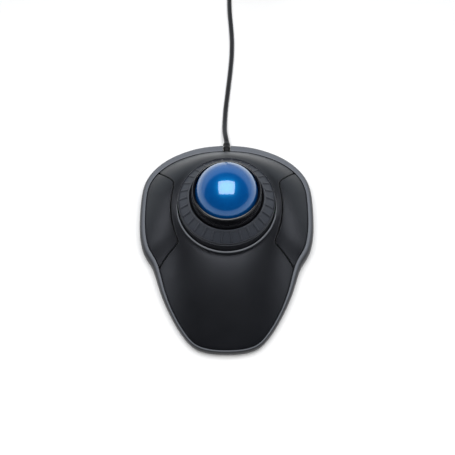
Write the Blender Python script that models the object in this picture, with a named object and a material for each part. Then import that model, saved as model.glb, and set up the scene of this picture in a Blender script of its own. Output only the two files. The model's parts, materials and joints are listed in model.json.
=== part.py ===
"""Trackball mouse with a scroll ring round its ball, two wing-shaped buttons and a USB cable.

The object stands on its rubber feet on z = 0. +Z is up, +Y points to the rear, where the
cable leaves, and +X to the right. The origin is the middle of the body's footprint.
Sizes below are in millimetres; every mesh is scaled to metres when it is made.
"""

import math

import bmesh
import bpy
import numpy as np
from mathutils import Matrix, Vector

MM = 0.001

# Ball, socket and scroll ring, turned about a vertical axis at y = RING_Y
RING_Y = 19.5
BALL_RADIUS = 20.0
BALL_Z = 38.0
SOCKET_RADIUS = 20.6
SOCKET_WALL = 1.6
SENSOR_OPENING = 6.0
BEARING_RADIUS = 1.2
BEARING_CLEARANCE = 0.3
BEARING_DROP = math.radians(45.0)
BEARING_ANGLES = (86.0, 206.0, 326.0)
NECK_OUTER = 31.3
NECK_INNER = 29.7
NECK_TOP = 27.3
NECK_BOTTOM = 13.5
CHANNEL_FLOOR = 17.2
BEZEL_TOP = 43.6
BEZEL_BORE = 20.2
RING_INNER = 23.6
RING_OUTER = 31.3
RING_RIBS = 30
RIB_DEPTH = 0.6
ENCODER_SLOTS = 24

# Casing
RIM_COUNT = 66
RIM_Z = 5.4
TRAY_BOTTOM = 1.2
TRAY_FLOOR = 3.2
LIP_GAP = 0.4
OPENING_RADIUS = 32.0
OPENING_FRONT_Z = 20.5
OPENING_REAR_Z = 28.0
SHELL_THICKNESS = 2.0
SHELL_EDGE_DEPTH = 1.5
SHELL_RINGS = 6
CROWN = 1.5
SEAM_GAP = 0.5

# Right half of the rim, seen from above, from the rear centre to the front centre
RIM_HALF = [
    (0.0, 75.0), (20.0, 72.7), (38.0, 65.2), (50.0, 55.0), (56.3, 43.5), (58.0, 29.5),
    (58.0, 13.0), (56.8, 1.0), (53.8, -9.0), (48.6, -16.8), (45.4, -25.5), (41.5, -37.0),
    (36.0, -49.0), (29.4, -60.5), (20.8, -70.8), (10.8, -74.3), (0.0, -75.0),
]
# Width of the skirt between the rim and the top shell, at places along Y
SKIRT_WIDTH = [(-75.0, 1.5), (-48.0, 2.1), (-20.0, 3.7), (0.0, 4.2), (34.0, 4.3), (75.0, 7.8)]
# Height of the top shell's lower edge, at places along Y
EDGE_HEIGHT = [(-75.0, 9.0), (-45.0, 10.5), (-15.0, 12.3), (10.0, 13.0), (75.0, 12.5)]
# Seam of the right button, from behind the rim round the ring side to the waist
BUTTON_SEAM = [
    (56.0, 60.5), (44.1, 47.0), (35.9, 38.0), (34.7, 35.0), (35.6, 28.5), (36.3, 22.0),
    (36.2, 16.0), (35.4, 9.5), (33.6, 2.6), (30.9, -4.6), (31.4, -6.8), (35.2, -10.8),
    (39.2, -15.2), (42.4, -19.6), (46.0, -26.0),
]
BUTTON_FAR_SIDE = 75.0

# Buttons, switches and circuit board
HINGE_X = 39.0
HINGE_Z = 15.8
HINGE_Y = (8.0, 31.0)
PIN_RADIUS = 0.8
PIN_GAP = 0.3
LUG_WIDTH = 2.4
ARM_INSET = 0.4
LUG_GAP = 0.5
SWITCH_X = 44.6
SWITCH_Y = 20.0
SWITCH_SIZE = (6.0, 12.8, 6.4)
PLUNGER_SIZE = (1.8, 2.8)
PLUNGER_LENGTH = 2.4
PLUNGER_GAP = 0.3
BOARD_SIZE = (99.0, 34.0, 1.6)
BOARD_BOTTOM = 4.8
BOARD_TOP = BOARD_BOTTOM + BOARD_SIZE[2]
ON_BOARD = BOARD_TOP + 0.3
SENSOR_TOP = ON_BOARD + 2.6
SWITCH_TOP = ON_BOARD + SWITCH_SIZE[2]
PLUNGER_TOP = SWITCH_TOP + 0.9

# Fasteners and feet
BOSS_RADIUS = 3.2
SHELL_BOSSES = [(30.0, 53.0), (26.0, -37.0)]
SOCKET_POST_RADIUS = 26.0
SOCKET_POST_ANGLES = (60.0, 120.0, 240.0, 300.0)
BOARD_SCREWS_X = 33.0
FEET = [(41.0, 38.0), (22.0, -55.0)]
FOOT_RADIUS = 6.0
FOOT_HEIGHT = 1.4
FOOT_GAP = 0.3

# Cable and plug
CABLE_DIAMETER = 3.4
CABLE_STEP = 7.6
TAIL_STEP = 3.5
CABLE_EXIT_Z = 5.8
RELIEF_START = 58.1
CABLE_ROUTE = [
    (0.0, 79.3, CABLE_EXIT_Z), (-0.5, 82.5, 5.5), (-1.1, 86.5, 4.7), (-1.5, 92.0, 3.3),
    (-1.4, 98.0, 2.2), (-1.1, 105.0, 1.8), (-0.6, 112.0, 1.8), (0.2, 120.0, 1.8), (1.1, 129.0, 1.8),
    (2.0, 138.0, 1.8), (3.0, 149.0, 1.8), (3.8, 161.0, 1.8), (4.0, 174.0, 1.8),
    (3.4, 187.0, 1.8), (2.5, 200.0, 1.8), (2.0, 213.0, 1.8), (2.2, 226.0, 1.8),
    (2.4, 235.2, 1.8),
]
COIL_CENTRE = (26.0, 248.0)
COIL_MID_RADIUS = 18.8
COIL_SECTION = (13.6, 13.2)
TAIL_ROUTE = [
    (39.3, 271.8, 11.6), (43.0, 271.8, 10.9), (48.0, 271.7, 8.6), (53.0, 271.2, 6.0),
    (58.0, 270.2, 4.3), (62.0, 269.2, 3.9),
]


def clear_scene():
    for item in list(bpy.data.objects):
        bpy.data.objects.remove(item, do_unlink=True)


def finish(name, colour, roughness, metallic=0.0):
    """A Principled material of one colour."""
    material = bpy.data.materials.new(name)
    material.use_nodes = True
    shader = material.node_tree.nodes["Principled BSDF"]
    shader.inputs["Base Color"].default_value = (*colour, 1.0)
    shader.inputs["Roughness"].default_value = roughness
    shader.inputs["Metallic"].default_value = metallic
    return material


def solid(name, points, faces, material=None):
    """One closed mesh object from points in millimetres, with its faces turned outwards."""
    mesh = bpy.data.meshes.new(name)
    mesh.from_pydata([Vector(point) * MM for point in points], [], faces)
    shape = bmesh.new()
    shape.from_mesh(mesh)
    bmesh.ops.recalc_face_normals(shape, faces=shape.faces)
    shape.to_mesh(mesh)
    shape.free()
    made = bpy.data.objects.new(name, mesh)
    bpy.context.scene.collection.objects.link(made)
    if material:
        mesh.materials.append(material)
    return made


def shade(made, angle=35.0):
    made.data.shade_smooth()
    made.data.set_sharp_from_angle(angle=math.radians(angle))
    return made


def combine(target, tool, operation):
    """Cuts with, joins or intersects the tool, which is used up."""
    modifier = target.modifiers.new(operation, "BOOLEAN")
    modifier.operation = operation
    modifier.object = tool
    bpy.context.view_layer.update()
    evaluated = target.evaluated_get(bpy.context.evaluated_depsgraph_get())
    result = bpy.data.meshes.new_from_object(evaluated)
    result.name = target.name
    target.modifiers.clear()
    target.data = result
    bpy.data.objects.remove(tool, do_unlink=True)


def cut(target, tool):
    combine(target, tool, "DIFFERENCE")


def join(target, tool):
    combine(target, tool, "UNION")


def move_origin(made, place):
    """Puts the object's origin at a point, in millimetres, and leaves its shape where it is."""
    origin = Vector(place) * MM
    made.data.transform(Matrix.Translation(-origin))
    made.location = origin


def loft(name, loops, material=None, closed=False):
    """Skins equal loops of points. The ends are capped, or joined to each other when closed."""
    size = len(loops[0])
    points = [point for loop in loops for point in loop]
    faces = []
    rows = len(loops) if closed else len(loops) - 1
    for row in range(rows):
        this_row = row * size
        next_row = (row + 1) % len(loops) * size
        for column in range(size):
            after = (column + 1) % size
            faces.append((this_row + column, this_row + after, next_row + after, next_row + column))
    if not closed:
        faces.append(tuple(range(size)))
        faces.append(tuple(range((len(loops) - 1) * size, len(loops) * size)))
    return solid(name, points, faces, material)


def circle(radius, height, steps, centre):
    turn = 2.0 * math.pi / steps
    return [
        (centre[0] + radius * math.cos(i * turn), centre[1] + radius * math.sin(i * turn), height)
        for i in range(steps)
    ]


def turned(name, profile, steps, centre, material=None, hollow=False):
    """Turns (radius, height) points about a vertical axis through centre.

    A hollow profile is a loop that closes on itself and makes a ring."""
    loops = [circle(radius, height, steps, centre) for radius, height in profile]
    return shade(loft(name, loops, material, closed=hollow))


def rod(name, start, end, radius, steps, material=None):
    """A round bar between two points."""
    along = Vector(end) - Vector(start)
    made = turned(name, [(radius, 0.0), (radius, along.length)], steps, (0.0, 0.0), material)
    turn = Vector((0.0, 0.0, 1.0)).rotation_difference(along).to_matrix().to_4x4()
    made.data.transform(Matrix.Translation(Vector(start) * MM) @ turn)
    return made


def box(name, low, high, material=None, bevel=0.0):
    corners = [(low[0], low[1]), (high[0], low[1]), (high[0], high[1]), (low[0], high[1])]
    loops = [[(x, y, z) for x, y in corners] for z in (low[2], high[2])]
    made = loft(name, loops, material)
    if bevel:
        shape = bmesh.new()
        shape.from_mesh(made.data)
        bmesh.ops.bevel(shape, geom=shape.edges[:], offset=bevel * MM, segments=1, affect="EDGES")
        shape.to_mesh(made.data)
        shape.free()
    return made


def prism(name, outline, low, high):
    return loft(name, [[(x, y, z) for x, y in outline] for z in (low, high)])


def spline(points, closed, steps=12):
    """Catmull-Rom curve through the points."""
    spots = np.array(points, float)
    count = len(spots)
    pieces = []
    for i in range(count if closed else count - 1):
        if closed:
            a, b, c, d = (spots[(i + k) % count] for k in (-1, 0, 1, 2))
        else:
            a, b, c, d = (spots[min(max(i + k, 0), count - 1)] for k in (-1, 0, 1, 2))
        for t in np.arange(steps) / steps:
            pieces.append(
                0.5 * (2 * b + (c - a) * t + (2 * a - 5 * b + 4 * c - d) * t**2
                       + (3 * b - a - 3 * c + d) * t**3)
            )
    if not closed:
        pieces.append(spots[-1])
    return np.array(pieces)


def evenly(path, count, closed):
    """Points at equal distances along a path."""
    whole = np.vstack([path, path[:1]]) if closed else path
    lengths = np.concatenate([[0.0], np.cumsum(np.linalg.norm(np.diff(whole, axis=0), axis=1))])
    wanted = np.linspace(0.0, lengths[-1], count + 1 if closed else count)
    if closed:
        wanted = wanted[:-1]
    return np.stack([np.interp(wanted, lengths, whole[:, k]) for k in range(whole.shape[1])], axis=1)


def rim_outline():
    left_half = [(-x, y) for x, y in RIM_HALF[-2:0:-1]]
    return evenly(spline(RIM_HALF + left_half, closed=True), RIM_COUNT, closed=True)


def inward(outline):
    """Unit normals of a clockwise outline, pointing to its inside."""
    along = np.roll(outline, -1, axis=0) - np.roll(outline, 1, axis=0)
    along /= np.linalg.norm(along, axis=1)[:, None]
    return np.stack([along[:, 1], -along[:, 0]], axis=1)


def at_y(table, y):
    return np.interp(y, [row[0] for row in table], [row[1] for row in table])


RIM = rim_outline()
INWARD = inward(RIM)
WIDTH = at_y(SKIRT_WIDTH, RIM[:, 1])
EDGE_Z = at_y(EDGE_HEIGHT, RIM[:, 1])
SHELL_EDGE = RIM + INWARD * (WIDTH + LIP_GAP)[:, None]


def loop_at(offset, height):
    """The rim moved inwards by an offset, at a height; both may be one value for each point."""
    places = RIM + INWARD * np.broadcast_to(offset, len(RIM))[:, None]
    heights = np.broadcast_to(height, len(RIM))
    return [(x, y, z) for (x, y), z in zip(places, heights)]


def boss_places():
    """Where the four shell screws stand."""
    return [(side * x, y) for x, y in SHELL_BOSSES for side in (-1, 1)]


def post_places():
    """Where the four socket screws stand."""
    return [
        (SOCKET_POST_RADIUS * math.cos(math.radians(angle)),
         RING_Y + SOCKET_POST_RADIUS * math.sin(math.radians(angle)))
        for angle in SOCKET_POST_ANGLES
    ]


def crown_height(angle, t, edge_z):
    """Height of the top shell, at a share t of the way from the ring's opening to its edge."""
    middle = 0.5 * (OPENING_FRONT_Z + OPENING_REAR_Z)
    tilt = 0.5 * (OPENING_REAR_Z - OPENING_FRONT_Z)
    opening_z = middle + tilt * np.sin(angle)
    return edge_z + (opening_z - edge_z) * (1.0 - t**CROWN)


def shell_height(x, y):
    """Height of the top shell's outer side at a place seen from above."""
    offset = SHELL_EDGE - np.array([0.0, RING_Y])
    angles = np.arctan2(offset[:, 1], offset[:, 0])
    angle = math.atan2(y - RING_Y, x)
    turn = 2.0 * math.pi
    reach = np.interp(angle, angles, np.linalg.norm(offset, axis=1), period=turn)
    edge_z = np.interp(angle, angles, EDGE_Z, period=turn)
    t = (math.hypot(x, y - RING_Y) - OPENING_RADIUS) / (reach - OPENING_RADIUS)
    return float(crown_height(angle, t, edge_z))


def shell_blank(name, material=None):
    """The whole upper skin, from the ring's opening to the skirt, before the buttons are cut."""
    offset = SHELL_EDGE - np.array([0.0, RING_Y])
    angle = np.arctan2(offset[:, 1], offset[:, 0])
    reach = np.linalg.norm(offset, axis=1)

    def ring_of(t, lower, shrink=0.0):
        radius = OPENING_RADIUS + (reach - shrink - OPENING_RADIUS) * t
        height = crown_height(angle, t, EDGE_Z) - lower
        return [
            (r * math.cos(a), RING_Y + r * math.sin(a), z) for r, a, z in zip(radius, angle, height)
        ]

    steps = np.linspace(0.0, 1.0, SHELL_RINGS + 1)
    outer = [ring_of(t, 0.0) for t in steps]
    inner = [ring_of(t, SHELL_THICKNESS, shrink=1.4) for t in steps[::-1]]
    edge = [ring_of(1.0, SHELL_EDGE_DEPTH), ring_of(1.0, SHELL_EDGE_DEPTH, shrink=1.4)]
    return loft(name, outer + edge + inner, material, closed=True)


def button_prism(name, grow):
    """Upright block with the right button's plan, with its seam moved out by grow."""
    seam = spline(BUTTON_SEAM, closed=False, steps=3)
    along = np.gradient(seam, axis=0)
    along /= np.linalg.norm(along, axis=1)[:, None]
    out = np.stack([along[:, 1], -along[:, 0]], axis=1)
    line = seam + out * grow
    outline = [tuple(spot) for spot in line]
    outline += [(BUTTON_FAR_SIDE, line[-1][1]), (BUTTON_FAR_SIDE, line[0][1])]
    return prism(name, outline, 5.0, 45.0)


def mirrored(made):
    """Turns a right-hand mesh into the left-hand one."""
    made.data.transform(Matrix.Scale(-1.0, 4, (1.0, 0.0, 0.0)))
    made.data.flip_normals()
    return made


def make_top_shell(black):
    shell = shell_blank("top_shell", black)
    for x, y in boss_places():
        low_side = min(shell_height(u, v) for u, v, _ in circle(BOSS_RADIUS, 0.0, 12, (x, y)))
        boss = [(BOSS_RADIUS, 5.0), (BOSS_RADIUS, low_side - 0.5)]
        join(shell, turned("boss", boss, 12, (x, y)))
        cut(shell, turned("pilot", [(1.4, 4.0), (1.4, 13.0)], 8, (x, y)))
    for side in (-1, 1):
        cutter = button_prism("seam", SEAM_GAP / 2)
        cut(shell, cutter if side > 0 else mirrored(cutter))
        inset = LUG_WIDTH / 2 + ARM_INSET
        for y in (HINGE_Y[0] + inset, HINGE_Y[1] - inset):
            join(shell, hinge_arm(side, y))
    return shade(shell)


def hinge_arm(side, y):
    """Bracket under the shell that reaches under the button and holds one end of its pin."""
    low, high = y - LUG_WIDTH / 2, y + LUG_WIDTH / 2
    top = shell_height(34.4, y) - 0.8
    bottom = HINGE_Z - 1.8
    shelf = HINGE_Z + 1.3
    reach = HINGE_X + 1.5
    profile = [(33.4, bottom), (reach, bottom), (reach, shelf), (35.0, shelf), (34.8, top), (33.4, top)]
    loops = [[(side * x, face, z) for x, z in profile] for face in (low, high)]
    arm = loft("hinge_arm", loops)
    bore_start = (side * HINGE_X, low - 1.0, HINGE_Z)
    bore_end = (side * HINGE_X, high + 1.0, HINGE_Z)
    cut(arm, rod("bore", bore_start, bore_end, PIN_RADIUS + PIN_GAP, 12))
    return arm


def make_button(side, black):
    """Button cap, with its two hinge lugs and the pad that presses the switch."""
    name = "left_button" if side < 0 else "right_button"
    button = shell_blank(name, black)
    combine(button, button_prism("plan", -SEAM_GAP / 2), "INTERSECT")
    inset = ARM_INSET + 1.5 * LUG_WIDTH + LUG_GAP
    for y in (HINGE_Y[0] + inset, HINGE_Y[1] - inset):
        low, high = y - LUG_WIDTH / 2, y + LUG_WIDTH / 2
        top = shell_height(HINGE_X, y) - 1.0
        lug = box("lug", (HINGE_X - 1.7, low, HINGE_Z - 1.8), (HINGE_X + 1.7, high, top))
        start = (HINGE_X, low - 1.0, HINGE_Z)
        end = (HINGE_X, high + 1.0, HINGE_Z)
        cut(lug, rod("bore", start, end, PIN_RADIUS + PIN_GAP, 12))
        join(button, lug)
    pad_z = PLUNGER_TOP + PLUNGER_GAP
    pad_top = shell_height(SWITCH_X, SWITCH_Y) - 1.0
    join(button, turned("pad", [(1.6, pad_z), (1.6, pad_top)], 12, (SWITCH_X, SWITCH_Y)))
    if side < 0:
        mirrored(button)
    move_origin(button, (side * HINGE_X, 0.5 * sum(HINGE_Y), HINGE_Z))
    return shade(button)


def make_base_tray(grey):
    """Floor, flared skirt, posts and screw pads, in one moulding."""
    shoulder = []
    for angle in (20.0, 42.0, 62.0, 78.0, 90.0):
        drop = 1.0 - math.cos(math.radians(angle))
        rise = math.sin(math.radians(angle))
        shoulder.append(loop_at((WIDTH - 0.35) * drop, RIM_Z + (EDGE_Z + 0.2 - RIM_Z) * rise))
    loops = [
        loop_at(2.8, TRAY_BOTTOM), loop_at(1.0, 2.1), loop_at(0.15, 3.8), loop_at(0.0, RIM_Z),
        *shoulder,
        loop_at(WIDTH, EDGE_Z + 0.1), loop_at(WIDTH, EDGE_Z - 2.0),
        loop_at(2.1, 5.8), loop_at(3.0, TRAY_FLOOR),
    ]
    tray = loft("base_tray", loops, grey)
    cut(tray, box("notch", (-3.1, 57.0, 2.6), (3.1, 64.0, 20.0)))
    cut(tray, box("notch", (-2.6, 63.0, 2.6), (2.6, 82.0, 20.0)))
    for x, y in boss_places():
        join(tray, turned("pad", [(5.0, 2.0), (4.6, 4.6)], 14, (x, y)))
        cut(tray, turned("head_recess", [(3.0, 0.5), (3.0, 3.2)], 12, (x, y)))
        cut(tray, turned("screw_hole", [(1.7, 2.8), (1.7, 6.0)], 8, (x, y)))
    for x, y in post_places():
        join(tray, turned("post", [(3.4, 2.5), (3.0, NECK_BOTTOM + 1.3)], 12, (x, y)))
        cut(tray, turned("pilot", [(1.4, 6.0), (1.4, 16.0)], 8, (x, y)))
    for side in (-1, 1):
        place = (side * BOARD_SCREWS_X, RING_Y)
        join(tray, turned("board_post", [(2.8, 2.5), (2.5, BOARD_BOTTOM - 0.3)], 12, place))
        cut(tray, turned("pilot", [(1.3, 3.6), (1.3, 8.0)], 8, place))
        for x, y in FEET:
            bore = FOOT_RADIUS + FOOT_GAP
            recess = [(bore, 0.5), (bore, FOOT_HEIGHT + FOOT_GAP)]
            cut(tray, turned("recess", recess, 20, (side * x, y)))
    return shade(tray)


def make_feet(rubber):
    for x, y in FEET:
        for side in (-1, 1):
            name = f"foot_{'front' if y < 0 else 'rear'}_{'left' if side < 0 else 'right'}"
            profile = [(FOOT_RADIUS - 0.3, 0.0), (FOOT_RADIUS, 0.3), (FOOT_RADIUS, FOOT_HEIGHT)]
            turned(name, profile, 20, (side * x, y), rubber)


def make_screw(name, place, head, shank, material):
    """Pan-head screw; head and shank are (radius, start z, end z), the head end first."""
    rim = head[1] + 0.3 * (head[2] - head[1])
    profile = [
        (head[0] * 0.8, head[1]), (head[0], rim), (head[0], head[2]),
        (shank[0], head[2]), (shank[0], shank[1]), (shank[0] * 0.4, shank[2]),
    ]
    screw = turned(name, profile, 10, place, material)
    depth = 0.4 * (head[2] - head[1])
    low, high = sorted((head[1] - depth, head[1] + depth))
    half = head[0] * 0.6
    cut(screw, box("slot", (place[0] - half, place[1] - 0.4, low),
                   (place[0] + half, place[1] + 0.4, high)))


def make_screws(steel):
    for number, place in enumerate(boss_places(), 1):
        make_screw(f"shell_screw_{number}", place, (2.6, 1.5, 2.9), (1.1, 11.0, 12.5), steel)
    for number, place in enumerate(post_places(), 1):
        top = CHANNEL_FLOOR + 1.5
        make_screw(f"socket_screw_{number}", place, (2.3, top, top - 1.2), (1.1, 9.0, 7.5), steel)
    for number, side in enumerate((-1, 1), 1):
        top = BOARD_TOP + 1.5
        place = (side * BOARD_SCREWS_X, RING_Y)
        make_screw(f"board_screw_{number}", place, (2.2, top, top - 1.2), (1.0, 5.0, 4.0), steel)


def bearing_directions():
    """From the ball's centre to each of the three bearings."""
    for angle in BEARING_ANGLES:
        flat = math.cos(BEARING_DROP)
        turn = math.radians(angle)
        yield Vector((flat * math.cos(turn), flat * math.sin(turn), -math.sin(BEARING_DROP)))


def make_ball_socket(grey):
    """Bowl under the ball, hub for the ring, the ring's channel and the neck, in one moulding."""
    centre = (0.0, RING_Y)
    outside = SOCKET_RADIUS + SOCKET_WALL

    def bowl(radius, ring_radius):
        return BALL_Z - math.sqrt(radius**2 - ring_radius**2)

    inner_wall = [(r, bowl(SOCKET_RADIUS, r)) for r in (SENSOR_OPENING, 11.0, 15.5, 18.5)]
    outer_wall = [(r, bowl(outside, r)) for r in (20.6, 17.0, 12.0, SENSOR_OPENING + 0.6)]
    profile = [
        *inner_wall, (20.2, 33.6), (22.2, 33.6), (22.2, CHANNEL_FLOOR),
        (NECK_INNER, CHANNEL_FLOOR), (NECK_INNER, NECK_TOP - 0.5), (NECK_INNER + 0.6, NECK_TOP),
        (NECK_OUTER - 0.3, NECK_TOP), (NECK_OUTER, NECK_TOP - 0.5), (NECK_OUTER, NECK_BOTTOM),
        (NECK_INNER, NECK_BOTTOM), (NECK_INNER, CHANNEL_FLOOR - 2.0), (20.6, CHANNEL_FLOOR - 2.0),
        *outer_wall,
    ]
    socket = turned("ball_socket", profile, 40, centre, grey, hollow=True)
    middle = Vector((0.0, RING_Y, BALL_Z))
    for direction in bearing_directions():
        start = middle + direction * (SOCKET_RADIUS - 1.5)
        end = middle + direction * (outside + 1.5)
        cut(socket, rod("bearing_hole", start, end, BEARING_RADIUS + BEARING_CLEARANCE, 12))
    for x, y in post_places():
        cut(socket, turned("screw_hole", [(1.6, 14.0), (1.6, 19.0)], 12, (x, y)))
    cut(socket, box("slot", (23.7, RING_Y - 3.35, 14.0), (29.25, RING_Y + 3.35, 17.8)))
    return shade(socket)


def make_bearings(ceramic):
    middle = Vector((0.0, RING_Y, BALL_Z))
    for number, direction in enumerate(bearing_directions(), 1):
        place = middle + direction * (BALL_RADIUS + BEARING_RADIUS + 0.15)
        ball = sphere(f"bearing_ball_{number}", BEARING_RADIUS, 10, 6, ceramic)
        ball.location = place * MM


def sphere(name, radius, segments, rings, material):
    """A ball with its origin at its centre."""
    mesh = bpy.data.meshes.new(name)
    shape = bmesh.new()
    bmesh.ops.create_uvsphere(shape, u_segments=segments, v_segments=rings, radius=radius * MM)
    shape.to_mesh(mesh)
    shape.free()
    made = bpy.data.objects.new(name, mesh)
    bpy.context.scene.collection.objects.link(made)
    mesh.materials.append(material)
    return shade(made)


def make_trackball(blue):
    ball = sphere("trackball", BALL_RADIUS, 28, 16, blue)
    ball.location = Vector((0.0, RING_Y, BALL_Z)) * MM


def make_ball_bezel(gloss):
    """Glossy lip round the ball, which also keeps the scroll ring down."""
    profile = [
        (BEZEL_BORE, BEZEL_TOP - 0.6), (BEZEL_BORE + 0.4, BEZEL_TOP), (BEZEL_BORE + 0.9, BEZEL_TOP),
        (BEZEL_BORE + 1.4, BEZEL_TOP - 0.7), (23.0, 34.4), (22.9, 32.8),
        (22.5, 32.8), (22.5, 33.9), (BEZEL_BORE + 0.3, 33.9), (BEZEL_BORE + 0.3, 40.5),
    ]
    turned("ball_bezel", profile, 40, (0.0, RING_Y), gloss, hollow=True)


def make_scroll_ring(rubber):
    """Cone-shaped grip with radial ribs."""
    ribs = []
    rows = [
        (RING_INNER, 34.5, 0.0), (RING_INNER + 0.7, 35.0, 0.0), (25.2, 34.4, 1.0),
        (30.4, 30.6, 1.0), (RING_OUTER, 29.4, 0.0), (RING_OUTER, 28.2, 0.0),
        (29.6, 28.5, 0.0), (RING_INNER, 32.6, 0.0),
    ]
    steps_per_rib = 3
    count = RING_RIBS * steps_per_rib
    for step in range(count):
        angle = 2.0 * math.pi * (step + 0.5) / count
        low = step % steps_per_rib == 0
        loop = []
        for radius, height, textured in rows:
            drop = RIB_DEPTH * textured if low else 0.0
            loop.append((radius * math.cos(angle), RING_Y + radius * math.sin(angle), height - drop))
        ribs.append(loop)
    ring = loft("scroll_ring", ribs, rubber, closed=True)
    move_origin(ring, (0.0, RING_Y, 31.0))
    shade(ring, 30.0)


def make_encoder(plastic):
    """Hub that runs round the socket, with a slotted skirt for the photo-interrupter."""
    profile = [
        (22.6, 31.8), (23.3, 32.2), (28.9, 28.3), (28.9, 27.6), (27.1, 27.6), (27.1, 19.6),
        (26.3, 19.6), (26.3, 27.6), (23.6, 27.6), (23.6, 18.0), (22.6, 18.0),
    ]
    encoder = turned("scroll_ring_encoder", profile, 40, (0.0, RING_Y), plastic, hollow=True)
    loops = []
    for slot in range(ENCODER_SLOTS):
        angle = 2.0 * math.pi * slot / ENCODER_SLOTS
        turn = Matrix.Rotation(angle, 3, "Z")
        corners = [(25.6, -1.2), (27.8, -1.2), (27.8, 1.2), (25.6, 1.2)]
        for z in (20.6, 24.0):
            loops.append([turn @ Vector((x, y, z)) + Vector((0.0, RING_Y, 0.0)) for x, y in corners])
    points = [tuple(point) for loop in loops for point in loop]
    faces = []
    for slot in range(ENCODER_SLOTS):
        first = slot * 8
        faces.append((first + 3, first + 2, first + 1, first))
        faces.append((first + 4, first + 5, first + 6, first + 7))
        for side in range(4):
            after = (side + 1) % 4
            faces.append((first + side, first + after, first + 4 + after, first + 4 + side))
    cut(encoder, solid("slots", points, faces))
    move_origin(encoder, (0.0, RING_Y, 25.0))
    shade(encoder)


def make_board(green, black, clear, cream):
    """Circuit board with the sensor, its lens, the controller, the connector and interrupter."""
    half_x = BOARD_SIZE[0] / 2
    low_y, high_y = RING_Y - BOARD_SIZE[1] / 2, RING_Y + BOARD_SIZE[1] / 2
    board = box("circuit_board", (-half_x, low_y, BOARD_BOTTOM), (half_x, high_y, BOARD_TOP), green)
    for side in (-1, 1):
        place = (side * BOARD_SCREWS_X, RING_Y)
        hole = [(1.5, BOARD_BOTTOM - 1.0), (1.5, BOARD_TOP + 1.0)]
        cut(board, turned("screw_hole", hole, 12, place))
        microswitch(side, black)
        plunger(side, cream)
    box("ball_sensor", (-6.0, RING_Y - 5.0, ON_BOARD), (6.0, RING_Y + 5.0, SENSOR_TOP), black, 0.3)
    profile = [
        (5.2, SENSOR_TOP + 0.3), (5.2, SENSOR_TOP + 1.8), (3.4, SENSOR_TOP + 2.2),
        (3.4, 14.6), (2.4, 15.9),
    ]
    turned("sensor_lens", profile, 16, (0.0, RING_Y), clear)
    box("controller_chip", (-19.0, 24.0, ON_BOARD), (-12.0, 31.0, ON_BOARD + 1.2), black, 0.2)
    box("cable_connector", (-6.0, 31.2, ON_BOARD), (6.0, 36.0, ON_BOARD + 4.8), cream, 0.3)
    make_interrupter(black)


def microswitch(side, material):
    """Switch body under a button, with the well that its plunger slides in."""
    half = (SWITCH_SIZE[0] / 2, SWITCH_SIZE[1] / 2)
    x = side * SWITCH_X
    low = (x - half[0], SWITCH_Y - half[1], ON_BOARD)
    high = (x + half[0], SWITCH_Y + half[1], SWITCH_TOP)
    body = box(f"{'left' if side < 0 else 'right'}_switch", low, high, material)
    well = (PLUNGER_SIZE[0] / 2 + PLUNGER_GAP, PLUNGER_SIZE[1] / 2 + PLUNGER_GAP)
    well_low = (x - well[0], SWITCH_Y - well[1], SWITCH_TOP - 2.6)
    well_high = (x + well[0], SWITCH_Y + well[1], SWITCH_TOP + 1.0)
    cut(body, box("well", well_low, well_high))


def plunger(side, material):
    x = side * SWITCH_X
    half = (PLUNGER_SIZE[0] / 2, PLUNGER_SIZE[1] / 2)
    low = (x - half[0], SWITCH_Y - half[1], PLUNGER_TOP - PLUNGER_LENGTH)
    high = (x + half[0], SWITCH_Y + half[1], PLUNGER_TOP)
    made = box(f"{'left' if side < 0 else 'right'}_switch_plunger", low, high, material, 0.2)
    move_origin(made, (x, SWITCH_Y, PLUNGER_TOP))


def make_interrupter(black):
    """U-shaped photo-interrupter whose arms stand on both sides of the slotted skirt."""
    profile = [
        (24.1, ON_BOARD), (28.9, ON_BOARD), (28.9, 24.2), (27.5, 24.2),
        (27.5, 19.0), (25.9, 19.0), (25.9, 24.2), (24.1, 24.2),
    ]
    loops = [[(x, y, z) for x, z in profile] for y in (RING_Y - 3.0, RING_Y + 3.0)]
    loft("ring_interrupter", loops, black)


def make_pins(steel):
    for side, name in ((-1, "left_button_pin"), (1, "right_button_pin")):
        start = (side * HINGE_X, HINGE_Y[0], HINGE_Z)
        end = (side * HINGE_X, HINGE_Y[1], HINGE_Z)
        rod(name, start, end, PIN_RADIUS, 12, steel)


def lengthwise(name, profile, start, direction, steps, material):
    """Turns (radius, distance) points about a line, for sleeves on the cable."""
    made = turned(name, profile, steps, (0.0, 0.0), material)
    turn = Vector((0.0, 0.0, 1.0)).rotation_difference(Vector(direction)).to_matrix().to_4x4()
    made.data.transform(Matrix.Translation(Vector(start) * MM) @ turn)
    return made


def make_strain_relief(rubber):
    profile = [(1.9, 0.0), (1.9, 1.0), (2.8, 1.2), (2.8, 3.0), (2.0, 3.2)]
    for rib in range(5):
        start = 7.0 + 2.7 * rib
        reach = 2.25 - 0.05 * rib
        profile += [(1.9, start), (reach, start + 0.3), (reach, start + 1.1), (1.9, start + 1.4)]
    profile.append((1.8, 20.9))
    start = (0.0, RELIEF_START, CABLE_EXIT_Z)
    lengthwise("strain_relief", profile, start, (0.0, 1.0, 0.0), 8, rubber)


def tube(name, route, step, material):
    """Round cable through a route, as a bevelled curve with closed ends."""
    path = spline(route, closed=False)
    length = float(np.linalg.norm(np.diff(path, axis=0), axis=1).sum())
    spots = evenly(path, max(4, round(length / step)), closed=False)
    curve = bpy.data.curves.new(name, "CURVE")
    curve.dimensions = "3D"
    curve.bevel_depth = CABLE_DIAMETER / 2 * MM
    curve.bevel_resolution = 2
    curve.use_fill_caps = True
    line = curve.splines.new("POLY")
    line.points.add(len(spots) - 1)
    for point, spot in zip(line.points, spots):
        point.co = (*(Vector(spot) * MM), 1.0)
    curve.materials.append(material)
    made = bpy.data.objects.new(name, curve)
    bpy.context.scene.collection.objects.link(made)


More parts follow.
